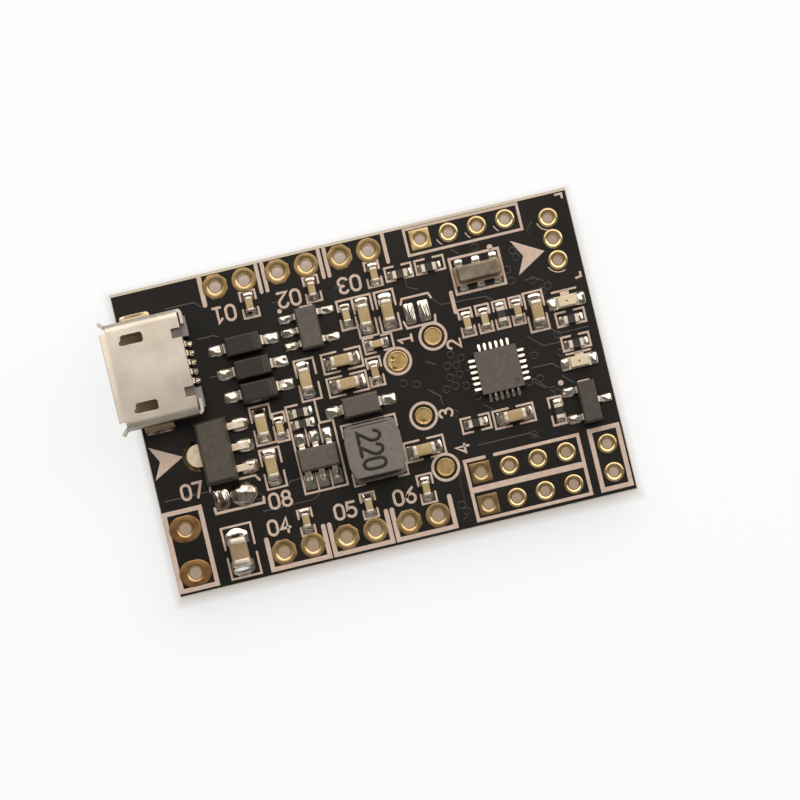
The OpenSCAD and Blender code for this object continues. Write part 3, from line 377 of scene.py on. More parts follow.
def plated_holes(places, bore, form, size, mouth=MOUTH):
    """Eyelets turned from a half section: land, mouth and bore, the same on both faces.

    Flat lands step up from the board and run level to the mouth; crowned ones rise on a quarter ellipse to a crest.
    The mouth falls from there as a power of the way in, so that most of it is a shallow cone above a steep bore.
    The distance from the axis is blended from the land's own outline to the round mouth.
    """
    half = (TOP - UNDER) / 2
    edge = reach_of(form, size)
    bend = np.linspace(0, np.pi / 2, 7)
    crest = bore / 2 + mouth
    ones = np.ones_like(AROUND)
    rows = [((bore / 2 + BARREL_WALL) * ones, 0.5 * half)]
    if form == "crown":
        rows += [(crest + (edge - crest) * np.cos(a), half + LAND_CROWN * np.sin(a)) for a in bend]
        high = half + LAND_CROWN
    else:
        high = half + LAND_THICK
        rows += [
            (edge, half - 0.01), (edge, high - 0.02), (edge - 0.02, high - 0.005), (edge - 0.06, high),
            (crest + 0.01 * ones, high),
        ]
    way = np.array([0, 0.12, 0.3, 0.5, 0.7, 0.84, 0.93, 0.98, 1])
    fall = 0.45 * way ** 1.4 + 0.55 * (1 - np.sqrt(1 - way ** 4))
    rows += [((crest - mouth * w) * ones, high - MOUTH_DEPTH * f) for w, f in zip(way, fall)]
    rows += [(distance, -level) for distance, level in rows[::-1]]
    distance = np.stack([row[0] for row in rows])
    level = np.array([row[1] for row in rows])
    section = np.stack([
        distance * np.cos(AROUND), distance * np.sin(AROUND), np.broadcast_to(level[:, None], distance.shape),
    ], -1)
    middles = np.array([(x, y, MIDDLE) for x, y in places])
    return section[None] + middles[:, None, None, :], True, True


def contact_patches():
    """Round test lands with the pricks of probes.

    The height is level up to a steep rim, with a bell-shaped crest round it. A prick is a bell-shaped pit, with the
    metal that left it in a bell beside it.
    """
    r = np.concatenate([1 - 0.12 * np.linspace(0, 1, 10) ** 2, np.linspace(0.86, 0, 36)])[:, None]
    level = 0.08 * (1 - r ** 24) + 0.014 * np.exp(-((r - 0.87) / 0.06) ** 2)
    found = []
    pricked = ([(-0.3, 0.23), (-0.34, -0.48)], [], [(-0.08, -0.36)], [])
    for place, radius, pricks in zip(CONTACTS, (0.75, 0.67, 0.64, 0.66), pricked):
        x, y = radius * r * np.cos(AROUND), radius * r * np.sin(AROUND)
        z = np.broadcast_to(level, x.shape)
        for px, py in pricks:
            pit = np.exp(-((x - px) ** 2 + (y - py) ** 2) / 0.075 ** 2)
            heap = np.exp(-((x - px + 0.03) ** 2 + (y - py + 0.13) ** 2) / 0.08 ** 2)
            z = z - 0.12 * pit + 0.04 * heap
        found.append((np.stack([x + place[0], y + place[1], TOP + np.maximum(z, 0)], -1)[None], False, True))
    return found


# Port shell

FILM = 0.04
PORT_REAR, PORT_Y = -11.82, 4.9
SHELL_WIDE, SHELL_HIGH, SHELL_SHEET = 7.4, 2.55, 0.25
SHELL_FRONT, LIP_RUN = PORT_REAR - 5.05, 0.42
WINDOW, WINDOW_HALF = (-15.2, 2.37), (0.75, 0.34)
# A window's relief along X, the notches behind it, the spread of the lips and the fold of the wings
RELIEF = (-16.12, -15.95)
NOTCH_LENGTH, NOTCH_MIDDLE, NOTCH_HALF = 0.65, 2.05, 0.325
LIP_UP, LIP_DOWN, LIP_OUT, FOLD = 0.06, 0.08, 0.33, 0.33
# How far the corners of the windows are drawn in
WINDOW_ROUND = 0.05


def rounded(corners, radius, steps=8):
    """A path whose inner corners are arcs, which leave one side and meet the next at equal ways from the corner."""
    corners = np.asarray(corners, float)
    ways = np.diff(corners, axis=0)
    ways /= np.linalg.norm(ways, axis=1, keepdims=True)
    found = [corners[:1]]
    for corner, u, v in zip(corners[1:-1], ways, ways[1:]):
        turn = math.atan2(u[0] * v[1] - u[1] * v[0], u @ v)
        side = np.array([-u[1], u[0]]) * math.copysign(1, turn)
        a = np.linspace(0, abs(turn), steps)[:, None]
        start = corner - u * radius * math.tan(abs(turn) / 2)
        found.append(start + radius * (side * (1 - np.cos(a)) + u * np.sin(a)))
    return np.vstack(found + [corners[-1:]])


def shell_patches():
    """Outer face of the port's stamped sheet: a rounded section carried along X, without the cells of its openings.

    Ahead of the tube the lips leave it as a power of the way to their edge. Behind it the wings follow a quarter
    circle and then run inwards. The upper face is a shallow crown, dented by slow waves. The legs are strips of
    their own.
    """
    wall = SHELL_WIDE / 2
    half = rounded([(0, 0), (2.85, 0), (wall, 1.1), (wall, SHELL_HIGH), (0, SHELL_HIGH)], 0.55)
    lines = [3.1, 2.9, 2.71, 2.59, 2.375, 2.15, 2.03, 1.725, 1.4, 1, 0.5]
    right = np.vstack([
        half[:1], [[1.2, 0], [2.3, 0]], half[1:17], [[wall, z] for z in (1.4, 1.6, 1.8)], half[17:25],
        [[y, SHELL_HIGH] for y in lines], half[25:],
    ])
    section = np.vstack([right, (right * [-1, 1])[-2:0:-1]])
    ahead = SHELL_FRONT - LIP_RUN * np.array([1, 0.8, 0.6, 0.4, 0.2, 0])
    along = [-16.72, -16.5, -16.3, -16.12, -15.95, -15.8, -15.4, -15, -14.6, -14.45, -14.2, -13.8, -13.4, -13, -12.7]
    behind = PORT_REAR + np.array([-0.65, -0.4, -0.2, 0, 0.08, 0.16, 0.25, 0.34, 0.43, 0.518, 0.7, 0.95, 1.27])
    t = np.concatenate([ahead, along, behind])
    y, z = (np.broadcast_to(section[:, k], (len(t), len(section))).copy() for k in (0, 1))
    x = np.broadcast_to(t[:, None], y.shape).copy()

    # Cells that are kept, by the middle of each
    def middle(grid):
        """The mean of each cell's four corners."""
        ring = (grid + np.roll(grid, -1, 1)) / 2
        return (ring[1:] + ring[:-1]) / 2

    mx, my, mz = middle(x), middle(y), middle(z)
    level = mz > SHELL_HIGH - TINY
    upright_wall = np.abs(my) > wall - TINY
    lips = (level & (np.abs(my) < 3.1)) | (upright_wall & (mz > 1.3)) | ((mz < TINY) & (np.abs(my) < 2.3))
    wings = upright_wall & (mz > 1.4)
    beside = np.abs(np.abs(my) - WINDOW[1]) < WINDOW_HALF[1]
    open_window = level & beside & (np.abs(mx - WINDOW[0]) < WINDOW_HALF[0])
    low = (my > 2.03) & (my < 2.375) | (my > -2.71) & (my < -2.375)
    relief = level & low & (mx > RELIEF[0]) & (mx < RELIEF[1])
    notch = level & (mx > PORT_REAR - NOTCH_LENGTH) & (np.abs(np.abs(my) - NOTCH_MIDDLE) < NOTCH_HALF)
    kept = np.where(mx < SHELL_FRONT, lips, np.where(mx > PORT_REAR, wings, True)) & ~(open_window | relief | notch)

    # Corners of the windows, drawn in to round them
    top = z > SHELL_HIGH - TINY
    for cx, cy, dx, dy in (
        (-14.45, 2.71, -1, -1), (-14.45, 2.03, -1, 1), (-15.95, 2.71, 1, -1), (-16.12, 2.03, 1, 1),
        (-16.12, 2.375, 1, -1), (-14.45, -2.03, -1, -1), (-14.45, -2.71, -1, 1), (-15.95, -2.03, 1, -1),
        (-16.12, -2.71, 1, 1), (-16.12, -2.375, 1, -1),
    ):
        here = top & (np.abs(x - cx) < TINY) & (np.abs(y - cy) < TINY)
        x[here] += WINDOW_ROUND * dx
        y[here] += WINDOW_ROUND * dy

    # Lips, wings and crown
    way = np.clip((SHELL_FRONT - x) / LIP_RUN, 0, 1)
    sides = np.abs(y) > wall - TINY
    z += np.where(top, LIP_UP, np.where(z < TINY, -LIP_DOWN, 0)) * way ** 1.4
    y += np.where(sides, LIP_OUT, 0) * way ** 1.2 * np.sign(y)
    x += np.where(sides, LIP_OUT * LIP_RUN, 0) * way
    past = np.maximum(x - PORT_REAR, 0)
    angle = np.minimum(past / FOLD, np.pi / 2)
    y -= np.sign(y) * (FOLD * (1 - np.cos(angle)) + np.maximum(past - FOLD * np.pi / 2, 0))
    x = np.minimum(x, PORT_REAR) + FOLD * np.sin(angle)
    crown = 0.08 * np.minimum(np.abs(y) / 3.15, 1) ** 2 - 0.01 * ((x + 14.4) / 2.5) ** 2
    dents = 0.007 * np.sin(2.1 * x + 1.3 * y) * np.sin(1.7 * y - 0.9 * x + 2)
    z += (dents - crown) * np.clip((z - 2) / 0.55, 0, 1)
    patches = [(np.stack([x, y + PORT_Y, z + TOP], -1)[None], False, True, kept)]

    leg = rounded([(wall + 0.295, FILM + SHELL_SHEET), (wall, FILM + SHELL_SHEET), (wall, 1.28)], 0.08, 6)
    for strip in (leg, (leg * [-1, 1])[::-1]):
        reach = np.linspace(-15.8, -13.8, 5)
        grid = [np.broadcast_to(a, (5, len(strip))) for a in (reach[:, None], strip[:, 0] + PORT_Y, strip[:, 1] + TOP)]
        patches.append((np.stack(grid, -1)[None], False, False))
    return patches


# Solder

def seats(places, angles=(0,), offsets=(0,), under=False):
    """Rows of (x, y, angle, side of the board) for the terminals of parts; offsets run across the terminal's way."""
    found = []
    for x, y, turn in places:
        for angle in angles:
            for offset in offsets:
                way = np.array([0, offset if angle == 0 else -offset])
                at = turned(way, turn + angle) + [x, y]
                found.append((at[0], at[1], turn + angle, -1 if under else 1))
    return np.array(found)


def fillets(where, land, face, rise, tilt=0.0, arch=0.12):
    """Solder against the end faces of parts, as heights over each land.

    The land runs from land[0] to land[1] out from the part and is land[2] wide. From the face the solder falls as a
    power of what is left of the way to the land's edge, sooner at the sides, so that its contours are arches. A tilt
    adds a slope that falls towards +Y on terminals along X, and an arch draws the edge in with the square of the
    distance from the middle.
    """
    inner, outer, width = land
    p = np.linspace(0, 1, 17)[:, None]
    q = np.linspace(-1, 1, 15)[None, :]
    copies = len(where)
    height = rise * vary.uniform(0.75, 1.2, (copies, 1, 1))
    lean = vary.uniform(-0.2, 0.2, (copies, 1, 1))
    power = vary.uniform(1.9, 2.6, (copies, 1, 1))
    x = inner + (outer - inner) * p
    y = width / 2 * q
    out = np.maximum(x - face, 0) / (outer - face)
    left = 1 - np.minimum(np.hypot(out, 0.75 * np.abs(q) ** 2.5), 1)
    rim = (1 - np.abs(q) ** 12) * (1 - p ** 14)
    way = -np.cos(np.radians(where[:, 2]))[:, None, None]
    z = (FILM + height * (1 + lean * q) * left ** power + tilt * (1 + way * q)) * rim
    corner = 1 - 0.16 * p ** 10
    x = x - arch * (outer - face) * (p * q) ** 2
    shape = np.broadcast_shapes(z.shape, (copies,) + np.broadcast_shapes(x.shape, y.shape))
    x, y, z = np.broadcast_to(x, shape), np.broadcast_to(y * corner, shape), np.broadcast_to(z, shape)
    return set_down(np.stack([x, y, z], -1), where), False, False


def blobs(where, land, high, swell=0.5):
    """Solder that swells over the feet of leads: a dome on each land, with its top pulled by slow waves.

    The rim is a rounded rectangle, and the height is a root of what is left of the way from the middle to the rim.
    """
    inner, outer, width = land
    copies = len(where)
    r = np.sin(np.linspace(np.pi / 2, 0, 12))[None, :, None]
    turn = AROUND[None, None, ::2]
    c, s = np.cos(turn), np.sin(turn)
    edge = (np.abs(c) ** 4.5 + np.abs(s) ** 4.5) ** (-1 / 4.5)
    phase = vary.uniform(0, 2 * np.pi, (4, copies, 1, 1))
    u, v = r * edge * c, r * edge * s
    wave = 0.16 * np.sin(2.2 * u + phase[0]) * np.sin(1.8 * v + phase[1]) + 0.05 * np.sin(5 * u + phase[2] + 3 * v)
    z = high * (1 + wave) * (1 - r ** 2.6) ** swell
    x = np.broadcast_to((inner + outer) / 2 + (outer - inner) / 2 * u, z.shape)
    y = np.broadcast_to(width / 2 * v, z.shape)
    return set_down(np.stack([x, y, z], -1), where), False, True


def set_down(local, where):
    """Local shapes, drawn out along +X and up along +Z, turned and set on the board's upper or lower face."""
    angle = np.radians(where[:, 2])[:, None, None]
    side = where[:, 3][:, None, None]
    x = local[..., 0] * np.cos(angle) - local[..., 1] * np.sin(angle) + where[:, 0][:, None, None]
    y = local[..., 0] * np.sin(angle) + local[..., 1] * np.cos(angle) + where[:, 1][:, None, None]
    level = np.where(side > 0, TOP, UNDER)
    return np.stack([x, y, level + side * local[..., 2]], -1)


def drop(x, y, length, width, high, power=2.4, waves=0.03, ripple=0.0):
    """A drop of solder: rings of a rounded rectangle shrink to its top while the height grows as a dome.

    The outline is a superellipse of the given power with a few slow waves, and ripple lays ridges along Y on it.
    """
    r = np.sin(np.linspace(np.pi / 2, 0, 16))[:, None]
    c, s = np.cos(AROUND)[None, :], np.sin(AROUND)[None, :]
    edge = (np.abs(c) ** power + np.abs(s) ** power) ** (-1 / power)
    edge = edge * (1 + waves * np.sin(3 * AROUND + 1) + waves * np.sin(5 * AROUND + 2.2))
    px, py = x + length / 2 * r * edge * c, y + width / 2 * r * edge * s
    dome = np.sqrt(np.maximum(1 - r ** 2, 0))
    rough = ripple * np.sin(13 * px + 0.6 * np.sin(3 * py) + 3) + 0.5 * ripple * np.sin(29 * px + np.sin(4 * py))
    z = TOP + dome * (high + rough)
    return np.stack([px, py, np.broadcast_to(z, px.shape)], -1)[None], False, True


def chips(places, length, width, high, band, under=False):
    """Chip capacitors, as patches of their bodies and of their end caps.

    A rounded rectangle, the superellipse of power 7, is carried along the part. A cap is closed at its outer face,
    rounds over to its full size and steps down at the inner edge of its band, where the body goes on a little smaller.
    """
    turn = AROUND[::2]
    c, s = np.cos(turn), np.sin(turn)
    edge = (np.abs(c) ** 7 + np.abs(s) ** 7) ** (-1 / 7)

    def carried(rows, where):
        """Rounded sections along a chip, each row a place and a size, set down at every chip's place."""
        along, size = (np.array(values)[:, None] for values in zip(*rows))
        x = np.broadcast_to(along, (len(rows), len(turn)))
        local = np.stack([x, width / 2 * size * edge * c, FILM + high / 2 * (1 + size * edge * s)], -1)
        return set_down(np.broadcast_to(local, (len(where), *local.shape)), where), False, True

    end, soft, inner = length / 2, 0.12 * high, length / 2 - band
    cap = [
        (end, 0), (end, 0.78), (end - 0.1 * soft, 0.87), (end - 0.4 * soft, 0.95), (end - soft, 1), (inner + 0.04, 1),
        (inner + 0.01, 0.985), (inner, 0.94), (inner, 0),
    ]
    body = [(-inner - 0.05, 0), (-inner - 0.05, 0.955), (0, 0.965), (inner + 0.05, 0.955), (inner + 0.05, 0)]
    return carried(body, seats(places, (0,), under=under)), carried(cap, seats(places, BOTH, under=under))


# Parts of the upper face, as (x, y, angle)
MEDIUM = [
    (-4.32, 1.95, 90), (-1.61, 2.67, 0), (-1.57, 1.02, 0), (0.62, 5.31, 90), (2.24, 5.24, 90),
    (12.26, 2.82, 90), (9.07, -3.78, 0), (2.48, -4.61, 0), (-7.97, -0.42, 90), (-7.95, -3.34, 90),
]
SMALL = [
    (0.44, 1.33, 90), (1, 3.22, 0), (-0.58, 5.59, 90), (7.39, 3.15, 90), (8.62, 3.12, 90), (10.95, 3.18, 90),
    (-6.79, -0.9, 90), (-6.87, 7.9, 90), (-2.47, 7.9, 90), (1.93, 7.9, 90), (-6.5, -7.46, 90), (-2.08, -7.46, 90),
    (2, -7.25, 90),
]
SUPPLY = [(-11.42, -8.52, 90)]
RESISTORS = [
    (3.66, 7.55, 0), (5.7, 7.54, 0), (9.82, 3.22, 90), (14.4, 1.8, 0), (14.35, 0.1, 0), (6.36, -3.64, 0),
    (12.12, -4.16, 90), (-5.21, -0.14, 0), (-5.21, -0.93, 0),
]
DIODES = [(-7.92, 5.29, 0), (-7.65, 3.58, 0), (-7.58, 1.95, 0), (-1.02, -0.66, 0)]
LAMPS = [(14.36, 3.06, 0), (14.23, -1.17, 0)]
REGULATOR_AT, LOW_DROPOUT_AT, BOOST_AT = [(-11.42, -1.45, 0)], [(-3.27, 5.36, 0)], [(-4.68, -3.47, 90)]
SENSOR_AT, TRANSISTOR_AT, INDUCTOR_AT = [(8.76, -0.45, 0)], [(14.25, -4.02, 0)], [(-0.82, -3.89, 0)]
RESONATOR_AT = [(8.94 + 1.2 * k, 6.42, 90) for k in (-1, 0, 1)]
PORT_AT, LEGS_AT = [(PORT_REAR, PORT_Y, 0)], [(-14.8, PORT_Y, 0)]
# Length, width, height and end cap of the chip capacitors
MEDIUM_CHIP, SMALL_CHIP, SUPPLY_CHIP = (1.6, 0.82, 0.8, 0.3), (1, 0.52, 0.5, 0.2), (2.05, 1.3, 1.2, 0.52)
LEAD_PITCH, REGULATOR_PITCH, CONTACT_PITCH, SENSOR_PITCH, PROCESSOR_PITCH = 0.95, 1.48, 0.65, 0.4, 0.5
PAIR, TRIO = (-LEAD_PITCH, LEAD_PITCH), (-LEAD_PITCH, 0, LEAD_PITCH)
BOTH = (0, 180)
ALL_SIDES = (0, 90, 180, 270)


def upper_solder():
    """Solder at every terminal of the upper face."""
    sensor = SENSOR_PITCH * (np.arange(6) - 2.5)
    regulator = (-REGULATOR_PITCH, 0, REGULATOR_PITCH)
    return [
        fillets(seats(MEDIUM, BOTH), (0.48, 1.28, 0.94), 0.8, 0.34),
        fillets(seats(SMALL, BOTH), (0.28, 0.86, 0.74), 0.5, 0.24),
        fillets(seats(RESISTORS, BOTH), (0.26, 0.86, 0.64), 0.5, 0.2),
        fillets(seats(SUPPLY, BOTH), (0.6, 1.68, 1.58), 1.02, 0.46, arch=0.42),
        blobs(seats(LAMPS, BOTH), (0.6, 1.36, 0.98), 0.34),
        fillets(seats(RESONATOR_AT, BOTH), (0.3, 1.16, 0.62), 0.7, 0.28),
        fillets(seats(INDUCTOR_AT, BOTH), (0.9, 1.9, 3.1), 1.83, 0.03),
        blobs(seats(DIODES, BOTH), (1.42, 2.52, 0.84), 0.25),
        blobs(seats(LOW_DROPOUT_AT, (0,), PAIR), (0.95, 1.98, 0.62), 0.22),
        blobs(seats(LOW_DROPOUT_AT, (180,), TRIO), (0.95, 1.98, 0.62), 0.22),
        blobs(seats(BOOST_AT, (0,), TRIO), (0.95, 1.98, 0.72), 0.26),
        fillets(seats(BOOST_AT, (180,), TRIO), (0.95, 2.0, 0.76), 1.4, 0.2, arch=0.0),
        blobs(seats(TRANSISTOR_AT, (0,)), (0.75, 1.62, 0.62), 0.22),
        blobs(seats(TRANSISTOR_AT, (180,), PAIR), (0.75, 1.72, 0.72), 0.24),
        fillets(seats(SENSOR_AT, (90, 270), sensor), (1.3, 2.02, 0.26), 1.5, 0.16),
        fillets(seats(SENSOR_AT, BOTH, sensor), (1.3, 2.02, 0.27), 1.5, 0.04, 0.05),
        blobs(seats(REGULATOR_AT, (0,), regulator), (1.3, 2.66, 1), 0.4),
        blobs(seats(PORT_AT, (0,), CONTACT_PITCH * np.arange(-2, 3)), (0.14, 0.56, 0.38), 0.24),
    ]


# Middle and radius of the regulator's half-round tab, and the width and height of the solder round it
TAB_AT, TAB_RADIUS, SEAM_WIDTH, SEAM_HIGH = (-12.68, -1.45), 0.78, 0.3, 0.2


def tab_ring():
    """Solder round the half-round tab of the regulator: rings about the tab's middle, which fall to the land's edge."""
    turn = np.radians(np.linspace(94, 266, 41))[None, :]
    p = np.linspace(0, 1, 9)[:, None]
    distance = TAB_RADIUS + SEAM_WIDTH * p
    level = TOP + FILM * (1 - p ** 8) + SEAM_HIGH * (1 - p) ** 1.6
    x, y = TAB_AT[0] + distance * np.cos(turn), TAB_AT[1] + distance * np.sin(turn)
    return np.stack([x, y, np.broadcast_to(level, x.shape)], -1)[None], False, False


DECOUPLING = [(x, y, 90) for x in (-5.7, 5.7) for y in (-2.4, 2.4)]
SWITCHES = [(x + 1.015, y - math.copysign(2.75, y), 0 if y > 0 else 180) for x, y in MOTOR_FIRST]


def lower_solder():
    """Solder at every terminal of the lower face."""
    pins = PROCESSOR_PITCH * (np.arange(12) - 5.5)
    gates = [(x + 2.2, y, 90) for x, y, _ in SWITCHES]
    return [
        blobs(seats([(0, 0, 0)], ALL_SIDES, pins, True), (3.95, 4.8, 0.26), 0.2),
        blobs(seats(SWITCHES, (0,), under=True), (0.75, 1.62, 0.62), 0.22),
        blobs(seats(SWITCHES, (180,), PAIR, True), (0.75, 1.62, 0.62), 0.22),
        fillets(seats(DECOUPLING, BOTH, under=True), (0.28, 0.86, 0.64), 0.5, 0.24),
        fillets(seats(gates, BOTH, under=True), (0.26, 0.86, 0.6), 0.5, 0.2),
    ]


# Materials

def colour(code):
    """A hex colour as linear light."""
    value = np.array([int(code[i:i + 2], 16) for i in (1, 3, 5)]) / 255
    return (*np.where(value <= 0.04045, value / 12.92, ((value + 0.055) / 1.055) ** 2.4), 1.0)


def feed(tree, node, inputs):
    """Gives each input of a node its value, or the socket that feeds it."""
    for key, value in inputs.items():
        if isinstance(value, bpy.types.NodeSocket):
            tree.links.new(value, node.inputs[key])
        else:
            node.inputs[key].default_value = value


def put(tree, kind, inputs=(), **settings):
    """A new shader node with its settings and inputs."""
    node = tree.nodes.new("ShaderNode" + kind)
    for name, value in settings.items():
        setattr(node, name, value)
    feed(tree, node, dict(inputs))
    return node


def worked(tree, operation, *values, clamp=False):
    """What a Math node gives for values or sockets."""
    return put(tree, "Math", dict(enumerate(values)), operation=operation, use_clamp=clamp).outputs[0]


def mixed(tree, factor, a, b, kind="RGBA"):
    """A colour, or another kind of value, between a and b by a factor."""
    return put(tree, "Mix", {"Factor": factor, "A": a, "B": b}, data_type=kind).outputs["Result"]


def ranged(tree, value, low, high, start=0.0, end=1.0):
    """A value carried from the range low to high onto the range start to end, and held at its ends."""
    return put(tree, "MapRange", {
        "Value": value, "From Min": low, "From Max": high, "To Min": start, "To Max": end,
    }).outputs["Result"]


def object_axes(tree):
    """The X, Y and Z of Object coordinates."""
    return put(tree, "SeparateXYZ", {"Vector": put(tree, "TexCoord").outputs["Object"]}).outputs


def shader_of(made):
    """The Principled shader of a material."""
    return next(n for n in made.node_tree.nodes if n.type == "BSDF_PRINCIPLED")


def fed(shader, name):
    """The socket that feeds an input of a shader."""
    return shader.inputs[name].links[0].from_socket


def grain_group():
    """Clouds and fine grain, both noise on Object coordinates; clouds are stretched about their middle value."""
    group = bpy.data.node_groups.new("clouds_and_grain", "ShaderNodeTree")
    for way, names in (("INPUT", ("Cloud Scale", "Cloud Contrast", "Grain Scale")), ("OUTPUT", ("Cloud", "Grain"))):
        for name in names:
            group.interface.new_socket(name, in_out=way, socket_type="NodeSocketFloat")
    given, result = group.nodes.new("NodeGroupInput").outputs, group.nodes.new("NodeGroupOutput")
    where = put(group, "TexCoord").outputs["Object"]
    cloud = put(group, "TexNoise", {"Vector": where, "Scale": given["Cloud Scale"], "Detail": 4}).outputs["Fac"]
    grain = put(group, "TexNoise", {"Vector": where, "Scale": given["Grain Scale"], "Detail": 3}).outputs["Fac"]
    stretched = worked(group, "MULTIPLY", worked(group, "SUBTRACT", cloud, 0.5), given["Cloud Contrast"])
    feed(group, result, {"Cloud": worked(group, "ADD", stretched, 0.5, clamp=True), "Grain": grain})
    return group


GRAIN = grain_group()


def finish(name, light, dark, rough, metal=0.0, cloud=900, contrast=3.0, grain=14000, bump=0.1, depth=0.02, **sockets):
    """A material whose colour follows the clouds, and whose roughness and bump follow the grain."""
    made = bpy.data.materials.new(name)
    made.use_nodes = True
    tree = made.node_tree
    noise = put(
        tree, "Group", {"Cloud Scale": cloud, "Cloud Contrast": contrast, "Grain Scale": grain}, node_tree=GRAIN,
    ).outputs
    relief = put(tree, "Bump", {"Height": noise["Grain"], "Strength": bump, "Distance": depth * MM})
    feed(tree, shader_of(made), {
        "Base Color": mixed(tree, noise["Cloud"], colour(dark), colour(light)),
        "Roughness": ranged(tree, noise["Grain"], 0.3, 0.7, *rough),
        "Normal": relief.outputs["Normal"],
        "Metallic": metal,
        **{socket.replace("_", " "): value for socket, value in sockets.items()},
    })
    return made


# A face whose normal has less than this along Z, up or down, is an edge of the board and has no mask
EDGE_LEAN = 0.9


def board_finish():
    """Solder mask on the two faces, and bare laminate with its layers of cloth on the sawn and scored edges."""
    made = finish(
        "mask_and_laminate", "#232221", "#171716", (0.3, 0.45), cloud=190, contrast=2.5, grain=5200, bump=0.05,
        Specular_IOR_Level=0.25,
    )
    tree, shader = made.node_tree, shader_of(made)
    layers = put(tree, "TexWave", {
        "Vector": put(tree, "TexCoord").outputs["Object"], "Scale": 1600, "Distortion": 0.7, "Detail": 2,
    }, bands_direction="Z")
    cloth = mixed(tree, layers.outputs["Fac"], colour("#b8aa8f"), colour("#d5ccb9"))
    upright = put(tree, "SeparateXYZ", {"Vector": put(tree, "NewGeometry").outputs["True Normal"]}).outputs["Z"]
    edge = worked(tree, "LESS_THAN", worked(tree, "ABSOLUTE", upright), EDGE_LEAN)
    feed(tree, shader, {"Base Color": mixed(tree, edge, fed(shader, "Base Color"), cloth)})
    return made


# The most of a zone's shade that comes in
ZONE_SHARE = 0.92


def recoloured(made, *zones):
    """Gives a material other colours by zones along an axis.

    A zone is (axis, none, full, shade): its shade comes in from none of it at one place to nearly all of it at
    another, over what the zones before it gave.
    """
    tree, shader = made.node_tree, shader_of(made)
    along = object_axes(tree)
    result = fed(shader, "Base Color")
    for axis, none, full, shade in zones:
        result = mixed(tree, ranged(tree, along[axis], none * MM, full * MM, 0, ZONE_SHARE), result, colour(shade))
    feed(tree, shader, {"Base Color": result})
    return made


# Where the painted shade of the lands comes in below the top of a flat land, and where it goes again above it
LAND_SHADE_BAND = ((-0.04, -0.004), (0.035, 0.01))


def shade_painted_lands(made, light, dark, dull):
    """Gives flat lands, and the outer rims of crowned ones, a colour of their own, darker than the bores: painted shade
    standing for the dull reflections of flat gold. They also get a roughness of their own.

    The mask is a band of distances from the board's middle plane: it rises to the height of the flat lands and falls
    again above them.
    """
    tree, shader = made.node_tree, shader_of(made)
    noise = next(n for n in tree.nodes if n.type == "GROUP")
    away = worked(tree, "ABSOLUTE", worked(tree, "SUBTRACT", object_axes(tree)["Z"], MIDDLE * MM))
    land_top = TOP - MIDDLE + LAND_THICK
    band = worked(tree, "MULTIPLY", *(
        ranged(tree, away, (land_top + none) * MM, (land_top + full) * MM) for none, full in LAND_SHADE_BAND
    ))
    land = mixed(tree, noise.outputs["Cloud"], colour(dark), colour(light))
    feed(tree, shader, {
        "Base Color": mixed(tree, band, fed(shader, "Base Color"), land),
        "Roughness": mixed(tree, band, fed(shader, "Roughness"), dull, "FLOAT"),
    })
    return made


MOULDED = {"cloud": 2600, "contrast": 2.0, "grain": 26000, "bump": 0.3}
INKED = {"cloud": 2600, "contrast": 2.0, "grain": 20000, "bump": 0.3}
FIRED = {"cloud": 700, "grain": 12000}
PLATED = {"metal": 1.0, "cloud": 2200, "grain": 8000, "bump": 0.2}
GILT = {"metal": 1.0, "cloud": 1500, "grain": 7000, "depth": 0.03}
SOLDERED = {"metal": 1.0, "cloud": 1500, "grain": 5200, "bump": 0.12, "depth": 0.03}

